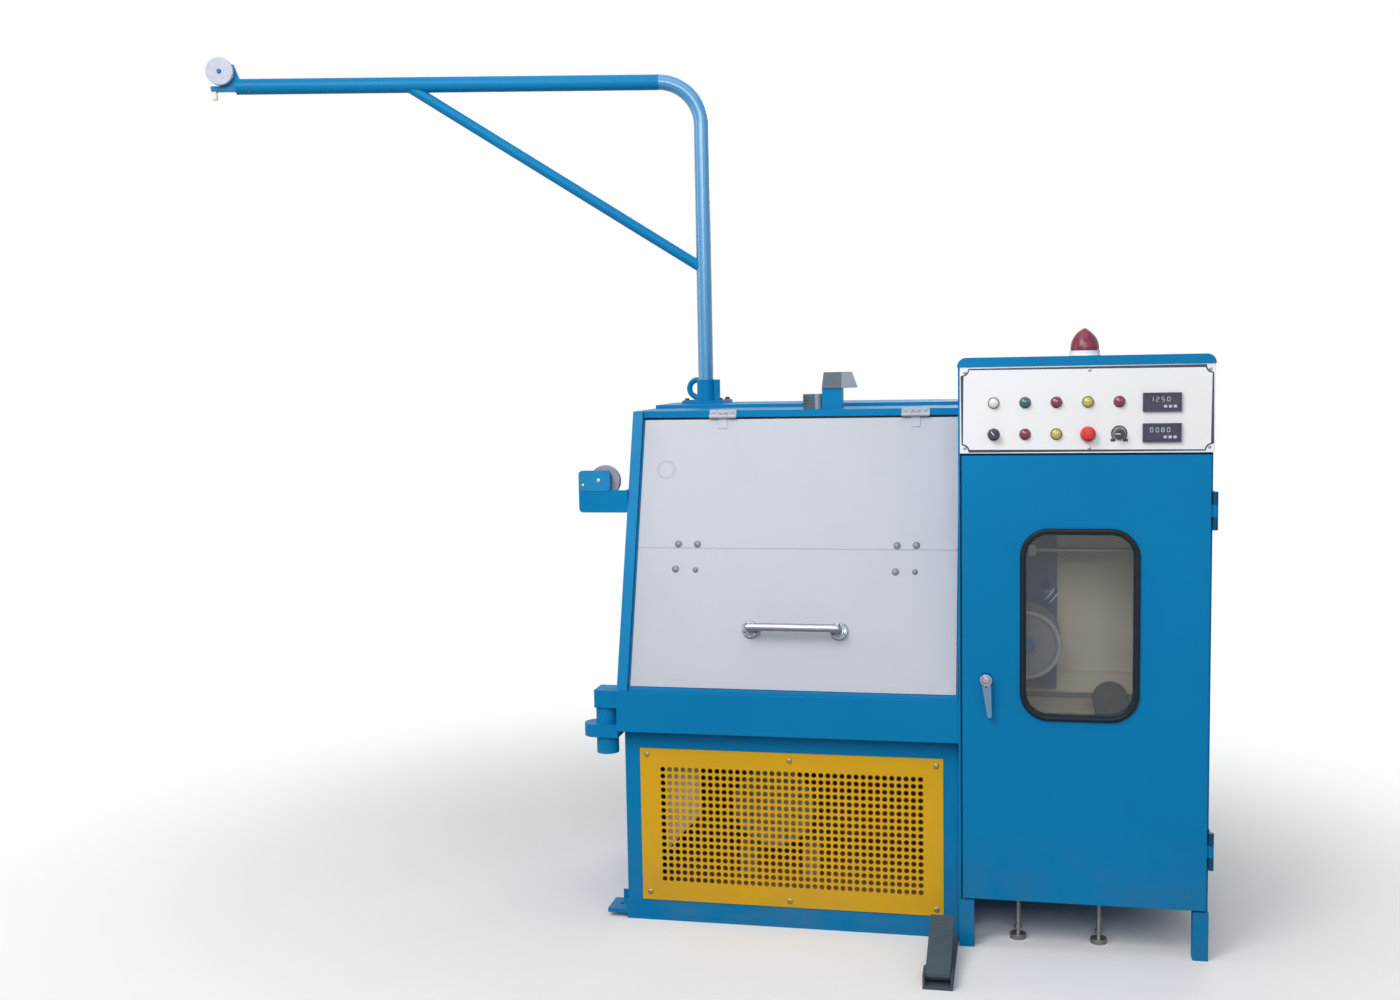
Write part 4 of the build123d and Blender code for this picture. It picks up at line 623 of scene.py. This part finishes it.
def build_meters(left):
    """Sunk faces of the two meters: a display with plain numbers, a lamp and three keys."""
    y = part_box("panel_meters")[0].y / MM + 2
    x = left / MM + 471
    for number, (top, shown) in enumerate(((1507, "1250"), (1428, "0080")), 1):
        z = top - 48
        face = panel_block(x + 5.2, z + 5.2, 85.6, 37.6, y - 0.6, y + 0.2, 0.2)
        display = panel_block(x + 10, z + 23, 70, 16, y - 0.9, y - 0.3, 0.2)
        digits = [panel_block(x0, z0, x1 - x0, z1 - z0, y - 1.15, y - 0.8) for k, symbol in enumerate(shown)
                  for x0, x1, z0, z1 in digit_bars(symbol, x + 18 + 14 * k, z + 25, 8, 12)]
        keys = [panel_block(x + 52 + 12 * k, z + 9, 8, 7, y - 1.6, y - 0.4, 0.5) for k in range(3)]
        for what, parts, finish, slot in (("face", [face], meter_face, "black_plastic"),
                                          ("display", [display], meter_dark, "black_plastic"),
                                          ("digits", digits, meter_light, "grey_plastic"),
                                          ("keys", keys, key_grey, "grey_plastic")):
            joined(f"meter_{what}_{number}", parts, finish, "machine", False, slot)
        lathe(f"meter_lamp_{number}", [(1.8, 0.0), (1.6, 1.0), (0.0, 1.5)],
              Vector((x + 14, y - 0.5, z + 12)) * MM, FRONT, lamp_red, "machine", 16, "red_plastic")


def build_dial(left, front):
    """Scale round the speed knob: an open ring, ticks and two end marks."""
    x, z = left + COLUMNS[4] * MM, ROWS[1] * MM
    arc = arc_points(x, z, 18.9 * MM, -42, 222, 40)
    ribbon("dial_ring", arc, 4.2 * MM, front, black, "black_plastic", False)
    ticks, ends = [], []
    for k in range(11):
        t = radians(-34 + 248 * k / 10)
        inner, outer = (Vector((x + r * MM * cos(t), z + r * MM * sin(t))) for r in (19.6, 20.7))
        side = Vector((-sin(t), cos(t))) * 0.25 * MM
        ticks.append(plate_mesh([inner - side, outer - side, outer + side, inner + side],
                                front - 0.3 * MM, front - 0.1 * MM))
    joined("dial_ticks", ticks, white, "machine", False, "panel_white")
    for side in (-1, 1):
        cx, cz = x + side * 15.5 * MM, z - 17 * MM
        ends.append(block_mesh((cx - 6 * MM, front - 0.5 * MM, cz - 4 * MM),
                               (cx + 6 * MM, front + 0.1 * MM, cz + 4 * MM), 0.2))
    joined("dial_ends", ends, black, "machine", False, "black_plastic")


def build_pointers(left):
    """White lines on the selector and the speed knob, and a dark cap on the speed knob."""
    for name, node, column, body, turn in (("selector_line", "selector_knob", 0, "selector", 35),
                                           ("speed_line", "speed_knob", 4, "speed_knob", 90)):
        x, y, z = left + COLUMNS[column] * MM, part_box(node)[0].y - 0.1 * MM, ROWS[1] * MM
        if node == "speed_knob":
            lathe("speed_knob_cap", [(11.5, 0.0), (11.2, 0.3), (0.0, 0.4)], (x, y, z), FRONT, black, body, 32,
                  "black_plastic")
            y -= 0.5 * MM
        t = radians(turn)
        along, side = Vector((-sin(t), cos(t))), Vector((cos(t), sin(t)))
        a = Vector((x, z)) - along * 2 * MM
        b = Vector((x, z)) + along * 10.5 * MM
        w = side * 1.2 * MM
        line = plate_mesh([a - w, a + w, b + w, b - w], y - 0.1 * MM, y + 0.15 * MM)
        piece(name, *line, white, body, False, "panel_white")


# Fasteners, trim and thin sheets

def round_head(place, normal, radius, rise):
    """Low domed head on a thin washer."""
    wide = radius * 1.3
    profile = [(wide, 0.0), (wide, 0.8), (radius, 0.9), (radius, rise * 0.45), (radius * 0.85, rise * 0.8),
               (radius * 0.5, rise), (0.0, rise * 1.05)]
    return lathe_mesh(profile, place, normal, 24)


def hex_head(place, normal, radius, rise):
    """Hexagon bolt head on a round washer."""
    sides, turn = 6, 0.3
    washer = [(radius * 1.35, 0.0), (radius * 1.35, 1.4), (radius * 0.9, 1.5)]
    verts, faces = lathe_mesh(washer, place, normal, 24)
    base = len(verts)
    for across, along in ((radius, 1.4), (radius, rise), (radius * 0.86, rise + 0.8)):
        verts += ring_points(place, normal, across, along, sides, turn)
    for k in range(sides):
        j = (k + 1) % sides
        for low in (base, base + sides):
            faces.append((low + k, low + j, low + sides + j, low + sides + k))
    faces.append(tuple(base + 2 * sides + k for k in range(sides)))
    return verts, faces


def up_along(normal):
    """Direction that climbs a face with this normal."""
    up = ACROSS.cross(normal)
    return up if up.z > 0 else -up


def build_cover_fittings():
    """Screws of the seam hinges, the seam's backing strip and a faint stamped ring, painted darker as shade
    of its relief.
    """
    rows = {"upper_cover": ((-330.0, 1084.0, 7.0), (-274.0, 1084.0, 7.0),
                            (299.0, 1084.0, 7.0), (353.0, 1085.0, 7.0)),
            "lower_cover": ((-335.0, 1014.0, 7.0), (-276.0, 1012.5, 5.5),
                            (296.0, 1013.0, 7.0), (350.0, 1013.5, 5.5))}
    for panel, spots in rows.items():
        washers, heads = [], []
        for x, z, radius in spots:
            place, normal = touch(panel, (x, AHEAD, z), BACK)
            wide = radius * 1.45
            washers.append(lathe_mesh([(wide, 0.0), (wide, 1.0), (wide - 1.0, 1.3), (radius * 0.9, 1.4)],
                                      place, normal, 24))
            heads.append(round_head(place + normal * 1.2 * MM, normal, radius * 0.82, 3.4))
        joined(f"{panel}_washers", washers, dark_steel, panel, True, "zinc")
        joined(f"{panel}_screws", heads, dull_steel, panel, True, "zinc")
    edge, normal = touch("lower_cover", (0.0, AHEAD, 1070.9), BACK)
    low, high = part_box("upper_cover")
    corners = [Vector((x, edge.y, edge.z)) + up_along(normal) * lift * MM + normal * depth * MM
               for x in (low.x + 1 * MM, high.x - 1 * MM)
               for lift, depth in ((0.5, -0.7), (3.1, -0.7), (3.1, -2.4), (0.5, -2.4))]
    piece("seam_strip", corners, BAR_FACES, stainless, "upper_cover", False, "stainless")
    place, normal = touch("upper_cover", (-378.0, AHEAD, 1295.0), BACK)
    rings = [lathe_mesh([(r - w, 0.0), (r - w * 0.4, 0.35), (r + w * 0.4, 0.35), (r + w, 0.0)],
                        place, normal, 64) for r, w in ((27.0, 1.3), (22.5, 0.8))]
    joined("cover_stamp", rings, stamp_painted_shade, "upper_cover", True, "stainless")


def build_handle_fittings():
    """Turned flanges at the handle's ends, with three screws in each."""
    flange = [(25.3, -3.0), (25.3, 0.2), (24.2, 1.4), (22.6, 1.8), (21.8, 0.5), (20.8, 0.5), (19.8, 2.0),
              (16.4, 2.6), (15.4, 1.2), (14.4, 1.2), (13.4, 3.4), (11.0, 3.8)]
    rim_z, centre_z = 831.0, 853.8
    heads, rings = [], []
    for x in (-107.0, 143.0):
        edge, normal = touch("cover_handle", (x, AHEAD, rim_z), BACK)
        up = up_along(normal)
        centre = edge + up * ((centre_z - rim_z) * MM / up.z)
        for turn in (90, 210, 330):
            t = radians(turn)
            spot = centre + (ACROSS * cos(t) + up * sin(t)) * 18.1 * MM
            heads.append(screw_mesh(spot + normal * 2.0 * MM, normal, 2.6, 1.2, t))
        rings.append(lathe_mesh(flange, centre, normal, 64))
    joined("handle_screws", heads, dark_steel, "lower_cover", True, "zinc")
    joined("handle_rings", rings, ring_chrome, "lower_cover", True, "chrome")


def build_top_hinge_screws():
    places = [touch("cover_hinges", (middle + shift, AHEAD, 1460.0), BACK)[0]
              for middle in (-215.0, 345.0) for shift in (-28.0, -9.5, 9.5, 28.0)]
    screws("top_hinge_screws", places, FRONT, zinc, "machine", 3.6, 1.4)


def build_top_fittings():
    """Bolts of the mast plate and the wire inlet, screws at the arm's end and rings on the round buffer."""
    heads = []
    for x, y in ((-304.0, 226.0), (-304.0, 348.0), (-412.0, 226.0)):
        place, normal = touch("mast_base", (x, y, 3000.0), DOWN)
        heads.append(hex_head(place, normal, 8.0, 7.0))
    joined("mast_plate_bolts", heads, dark_steel, "machine", False, "machined_steel")
    heads = []
    for x, z, radius in ((-571.0, 1267.0, 7.0), (-618.0, 1253.5, 5.0)):
        place, normal = touch("inlet_bracket", (x, AHEAD, z), BACK)
        heads.append(round_head(place, normal, radius, 4.5))
    joined("inlet_bolts", heads, zinc, "machine", True, "chrome")
    low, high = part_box("arm_pulley")
    middle = (low + high) / 2
    face, normal = touch("arm_pulley", (middle.x / MM, AHEAD, middle.z / MM + 14), BACK)
    hub = middle + normal * (face - middle).dot(normal)
    lathe("arm_pulley_bolt", [(7.0, -2.0), (7.0, 2.0), (6.0, 3.5), (3.0, 4.5), (0.0, 4.7)], hub, normal,
          dark_steel, "arm_pulley", 24, "machined_steel")
    place = touch("arm_pipe", (-1722.0, -104.0, 2000.0), UP)[0]
    lathe("arm_end_screw", [(4.0, -1.0), (4.0, 3.0), (3.2, 4.0), (0.0, 4.4)], place, DOWN,
          dark_steel, "arm", 20, "machined_steel")
    buffer_x, buffer_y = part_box("stop_pad")[0].x + 24 * MM, -122.0 * MM
    profile = [(24.0, -1.6), (25.0, -1.1), (25.0, 1.1), (24.0, 1.6)]
    rings = [lathe_mesh(profile, (buffer_x, buffer_y, z * MM), UP, 40) for z in (1483.0, 1491.0, 1499.0)]
    joined("buffer_rings", rings, rubber_painted_lit_side, "machine", True, "rubber")


def build_inlet_face():
    """Plate with rounded corners on the front of the wire inlet."""
    low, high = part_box("inlet_bracket")
    left, right = low.x + 0.5 * MM, low.x + 95.5 * MM
    outline = rounded_path(left, right, high.z - 60 * MM, high.z - 0.5 * MM, 11.5 * MM)
    plate = plate_mesh(outline, low.y - 1.8 * MM, low.y + 0.3 * MM)
    piece("inlet_face", *plate, blue_painted_lighter, "machine", False, "blue_paint")


def build_compartment_mat():
    """Brown sheets on the wall and the ground of the motor's compartment, whose warm colour is painted bounce
    light seen through the guard.
    """
    low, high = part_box("lower_front")
    left, right = low.x + 25 * MM, high.x - 25 * MM
    wall = touch("lower_back", (200.0, 0.0, 300.0), BACK)[0].y
    ground = touch("base_plate", (-330.0, 0.0, 200.0), DOWN)[0].z
    sheets = [block_mesh((left, wall - 8 * MM, low.z + 6 * MM), (right, wall, high.z - 6 * MM), 3.0),
              block_mesh((left, high.y + 30 * MM, ground), (right, wall - 9 * MM, ground + 3 * MM), 1.0)]
    joined("compartment_painted_bounce", sheets, painted_bounce_brown, "machine", False, "rubber")


def build_door_stops():
    """Strips behind the gaps at the door's left and top edges."""
    low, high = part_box("door")
    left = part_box("cabinet_back")[0].x
    corner = left + 16 * MM
    front, back, top = high.y + 2 * MM, high.y + 3.5 * MM, high.z + 5 * MM
    strips = [block_mesh((left + 5.2 * MM, front, low.z + 4 * MM), (corner, back, top), 0.3),
              block_mesh((corner, front, high.z - 4 * MM), (high.x - 24 * MM, back, top), 0.3)]
    joined("door_stops", strips, blue_painted_lighter, "machine", False, "blue_paint")


def build_cover_seals():
    """Strips beside the cover's panels, and a slanted one under the lower panel that it swings clear of."""
    place, normal = touch("upper_cover", (0.0, AHEAD, 1300.0), BACK)
    low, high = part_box("upper_cover")
    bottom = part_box("lower_cover")[0]
    gap, clear = 5 * MM, 1.6 * MM
    seals = []
    for x0, x1 in ((low.x - gap, low.x - clear), (high.x + clear, high.x + gap)):
        corners = []
        for z in (bottom.z + 4 * MM, high.z - 14 * MM):
            face = Vector((0, place.y + (place.z - z) * normal.z / normal.y, z))
            for x, depth in ((x0, 1.5), (x1, 1.5), (x1, 10.0), (x0, 10.0)):
                corners.append(face + Vector((x, 0, 0)) - normal * depth * MM)
        seals.append((corners, BAR_FACES))
    front, top = bottom.y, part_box("tray")[1].z
    near, far = (touch("lower_cover", (0.0, front / MM + inset, top / MM), UP)[0] for inset in (2.0, 10.0))
    slope = (far.z - near.z) / (far.y - near.y)
    foot = top - 0.5 * MM
    start, end = front - 3 * MM, front + 12 * MM
    ridges = [max(near.z + slope * (y - near.y) - 1.8 * MM, top + 0.2 * MM) for y in (start, end)]
    corners = [Vector((x, y, z)) for x in (low.x - gap, high.x + gap)
               for y, z in ((start, foot), (end, foot), (end, ridges[1]), (start, ridges[0]))]
    seals.append((corners, BAR_FACES))
    joined("cover_seals", seals, blue_painted_lighter, "machine", False, "blue_paint")


def build_gasket():
    """Round-backed bead on the window's rubber ring, with a thin lip towards the glass."""
    low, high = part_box("window_gasket")
    half = 7.5 * MM
    path = rounded_path(low.x + half, high.x - half, low.z + half, high.z - half, 67.5 * MM)
    profile = [(-7.4, 0.0), (-6.9, -2.2), (-5.0, -4.2), (-2.0, -5.2), (2.0, -5.0), (4.4, -3.8), (5.4, -2.2),
               (6.4, -2.6), (8.2, -2.2), (9.2, -0.6), (9.2, 9.7), (7.7, 9.7)]
    count, wide = len(path), len(profile)
    verts, faces = [], []
    for k, (x, z) in enumerate(path):
        before, after = path[k - 1], path[(k + 1) % count]
        run = Vector((after[0] - before[0], after[1] - before[1])).normalized()
        inward = Vector((-run.y, run.x))
        for across, out in profile:
            verts.append((x + inward.x * across * MM, low.y + out * MM, z + inward.y * across * MM))
        j = (k + 1) % count
        for s in range(wide - 1):
            faces.append((k * wide + s, k * wide + s + 1, j * wide + s + 1, j * wide + s))
    piece("gasket_bead", verts, faces, rubber, "door", True, "rubber")


def build_door_fittings():
    """Boss and key slot of the lever, and screws in the two hinges."""
    low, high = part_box("door_lever")
    head = Vector(((low.x + high.x) / 2, low.y, high.z - 17 * MM))
    boss = [(16.4, 0.3), (15.4, 1.4), (12.6, 1.8), (11.8, 0.9), (10.6, 0.9), (9.4, 2.6), (5.0, 3.6),
            (0.0, 3.8)]
    lathe("lever_boss", boss, head, FRONT, chrome, "door_lever", 40, "chrome")
    place = touch("door_lever", (549.0, AHEAD, 733.0), BACK)[0]
    points, steps = [], 24
    for k in range(steps):
        t = tau * k / steps
        points.append((place.x + cos(t) * 3.2 * MM, place.z + (sin(t) * 7.5 + cos(t) * 1.2) * MM))
    slot = plate_mesh(points, place.y - 0.25 * MM, place.y + 0.1 * MM)
    piece("lever_slot", *slot, black, "door_lever", False, "black_plastic")
    places = [touch("door_hinges", (3000.0, -400.0, z), (-1, 0, 0))[0]
              for z in (266.0, 300.0, 330.0, 1168.0, 1200.0, 1232.0)]
    screws("door_hinge_screws", places, (1, 0, 0), dark_steel, "machine", 4.2, 2.0)


def build_inner_trim():
    """Cheeks of the guide roller, rims of the spool and the fan cover, and bands on the inner wall. The
    cheeks and the fan cover's rim are near white, a painted highlight; the wall's dark strip is a painted
    shadow and the brown skirt below it painted shade.
    """
    tilt = radians(40.0)
    across = Vector((cos(tilt), 0, -sin(tilt)))
    left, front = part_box("cabinet_back")[0].x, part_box("control_panel")[0].y
    middle = Vector((left + 247 * MM, front + 203 * MM, 943 * MM))
    cheek = [(21.5, 0.0), (21.5, 1.6), (19.5, 2.4), (12.0, 2.4), (11.0, 1.0), (6.0, 0.8)]
    for name, side in (("guide_cheek_low", 1), ("guide_cheek_high", -1)):
        lathe(name, cheek, middle + across * side * 6.1 * MM, across * side, painted_highlight_white, "machine", 40,
              "machined_steel")
    low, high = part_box("take_up_spool")
    centre = Vector(((low.x + high.x) / 2, low.y, (low.z + high.z) / 2))
    lathe("spool_rim", [(86.0, 0.0), (87.0, 1.6), (94.0, 1.6), (95.6, 0.4), (95.6, -1.0)], centre, FRONT,
          rim_grey, "take_up_spool", 72, "grey_plastic")
    wall = touch("inner_panel", (900.0, AHEAD, 520.0), BACK)[0].y
    low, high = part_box("inner_panel")
    # The strip is a painted shadow and the skirt painted shade; the rail keeps the wall's own colour
    for name, z0, z1, thick, bevel, finish, slot in (
            ("wall_painted_shadow", 606, 620, 5, 1.0, painted_shadow_grey, "slate_paint"),
            ("wall_painted_shade", 420, 606, 2, 0.5, painted_shade_brown, "cream_paint"),
            ("wall_rail", 684, 690, 4, 1.0, cream, "cream_paint")):
        block(name, (low.x + 6 * MM, wall - thick * MM, z0 * MM), (high.x - 6 * MM, wall + 0.2 * MM, z1 * MM),
              finish, "machine", bevel, slot)
    fan = Vector((-92.0, -100.0, 262.0)) * MM
    rim = [(110.0, 0.3), (113.0, 2.6), (119.0, 2.6), (122.6, -0.5), (122.8, -9.0), (122.1, -9.0)]
    lathe("fan_cover_rim", rim, fan, FRONT, painted_highlight_white, "machine", 72, "machined_steel")


def build_pedal_ribs():
    """Raised grip ribs across the treadle."""
    foot, crest = (-0.2, 25.0, 3.2), (1.3, 24.0, 2.2)
    ribs = []
    for k in range(11):
        place, normal = touch("pedal_treadle", (432.5, -738.0 + 20.0 * k, 3000.0), DOWN)
        along = ACROSS.cross(normal)
        corners = [place + ACROSS * sx * wide * MM + along * sy * reach * MM + normal * rise * MM
                   for rise, wide, reach in (foot, crest) for sx, sy in ((-1, -1), (1, -1), (1, 1), (-1, 1))]
        ribs.append((corners, SIDE_FACES + [TOP_FACE]))
    joined("treadle_ribs", ribs, slate_paint, "pedal", False, "slate_paint")


def build_foot_threads():
    """Threads on the studs of the levelling feet."""
    turns, pitch, start = 56, 1.5, 46.0
    profile = []
    for k in range(turns):
        z = start + pitch * k
        profile += [(5.9, z), (6.5, z + pitch / 2)]
    profile.append((5.9, start + pitch * turns))
    threads = [lathe_mesh(profile, (x * MM, y * MM, 0.0), UP, 16)
               for x in (632.0, 848.0) for y in (-363.0, 277.0)]
    joined("foot_threads", threads, zinc, "machine", True, "zinc")


def build_back_screws():
    """Rows of screws round the sheets at the back."""
    margin, across, up = 20 * MM, 4, 3
    for node in ("back_panel", "lower_back", "cabinet_back"):
        low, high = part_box(node)
        x0, x1, z0, z1 = low.x + margin, high.x - margin, low.z + margin, high.z - margin
        places = []
        for k in range(across):
            x = x0 + (x1 - x0) * k / (across - 1)
            places += [(x, high.y, z0), (x, high.y, z1)]
        for k in range(1, up):
            z = z0 + (z1 - z0) * k / up
            places += [(x0, high.y, z), (x1, high.y, z)]
        screws(f"{node}_screws", places, BACK, zinc, "machine", 5.0, 1.6)


build_guard()
build_panel()
build_cover_fittings()
build_handle_fittings()
build_top_hinge_screws()
build_top_fittings()
build_inlet_face()
build_compartment_mat()
build_door_stops()
build_cover_seals()
build_gasket()
build_door_fittings()
build_inner_trim()
build_pedal_ribs()
build_foot_threads()
build_back_screws()


# Camera, light and floor

def set_camera():
    """Camera fitted to the photograph's view."""
    place = Vector((0.6407, -4.4643, 1.6022))
    yaw, pitch, roll = -0.2135, 0.0911, -0.0185
    ahead = Vector((sin(yaw) * cos(pitch), cos(yaw) * cos(pitch), -sin(pitch)))
    right = Vector((cos(yaw), -sin(yaw), 0.0))
    up = right.cross(ahead)
    side = right * cos(roll) + up * sin(roll)
    top = up * cos(roll) - right * sin(roll)
    data = bpy.data.cameras.new("camera")
    data.sensor_width = 36.0
    data.lens = 38.325
    data.clip_start = 0.1
    camera = bpy.data.objects.new("camera", data)
    bpy.context.scene.collection.objects.link(camera)
    matrix = Matrix((side, top, -ahead)).transposed().to_4x4()
    matrix.translation = place
    camera.matrix_world = matrix
    bpy.context.scene.camera = camera


def area_light(name, place, target, size, power, colour=(1.0, 1.0, 1.0)):
    data = bpy.data.lights.new(name, "AREA")
    data.shape = "RECTANGLE"
    data.size, data.size_y = size
    data.energy = power
    data.color = colour
    made = bpy.data.objects.new(name, data)
    bpy.context.scene.collection.objects.link(made)
    made.location = place
    made.rotation_euler = (Vector(target) - Vector(place)).to_track_quat("-Z", "Y").to_euler()


def set_world():
    """Soft light from all round, and white where the background itself is seen."""
    g = Graph("studio", world=True)
    soft = g.add("Background", {"Color": (0.92, 0.95, 1.0), "Strength": 0.17})
    bright = g.add("Background", {"Color": WHITE, "Strength": 1.0})
    bpy.context.scene.world = g.blend(g.rays()[1], soft, bright)


def set_floor():
    """Pale floor with the machine's shadow, which fades to the white background."""
    g = Graph("floor_pale")
    p = g.place()
    direct, seen = g.rays()
    tone = g.span(g.noise(p, 0.8, 3.0), 0.3, 0.7)
    lit = g.mix(tone, (0.42, 0.42, 0.42), (0.46, 0.46, 0.46))
    shown = g.mix(tone, (0.88, 0.88, 0.89), (0.93, 0.93, 0.94))
    near = g.add("BsdfPrincipled", {"Base Color": g.mix(direct, lit, shown), "Roughness": 0.8,
                                    "Specular IOR Level": 0.1})
    far = g.add("Emission", {"Color": WHITE, "Strength": 1.0})
    centred = g.add("Mapping", {"Vector": p, "Location": (0.1, 0.1, 0.0)}).outputs["Vector"]
    distance = g.add("VectorMath", {0: centred}, operation="LENGTH").outputs[1]
    share = g.math("MULTIPLY", seen, g.span(distance, 0.9, 2.8, kind="SMOOTHSTEP"))
    mesh = bpy.data.meshes.new("floor")
    reach = 40
    corners = [(-reach, -reach, 0), (reach, -reach, 0), (reach, reach, 0), (-reach, reach, 0)]
    mesh.from_pydata(corners, [], [(0, 1, 2, 3)])
    floor = bpy.data.objects.new("floor", mesh)
    bpy.context.scene.collection.objects.link(floor)
    mesh.materials.append(g.blend(share, near, far))


set_camera()
set_world()
set_floor()
area_light("key", (-1.3, -3.5, 3.9), (0.4, 0.0, 1.2), (2.0, 2.0), 115.0, (1.0, 0.98, 0.95))
area_light("front", (0.7, -5.6, 3.2), (0.5, 0.0, 1.3), (2.4, 1.8), 95.0, (0.98, 0.99, 1.0))
area_light("fill", (4.0, -4.0, 3.4), (0.6, 0.0, 1.0), (2.6, 2.0), 24.0, (0.93, 0.96, 1.0))
area_light("edge", (-4.2, -1.2, 2.2), (0.0, 0.0, 1.6), (0.7, 3.2), 28.0)
area_light("top", (0.2, -0.8, 4.0), (0.3, 0.1, 0.0), (3.0, 2.0), 22.0)
area_light("rear", (1.5, 4.5, 3.5), (0.2, 0.0, 1.0), (3.0, 2.0), 70.0)
bpy.context.scene.view_settings.view_transform = "Standard"
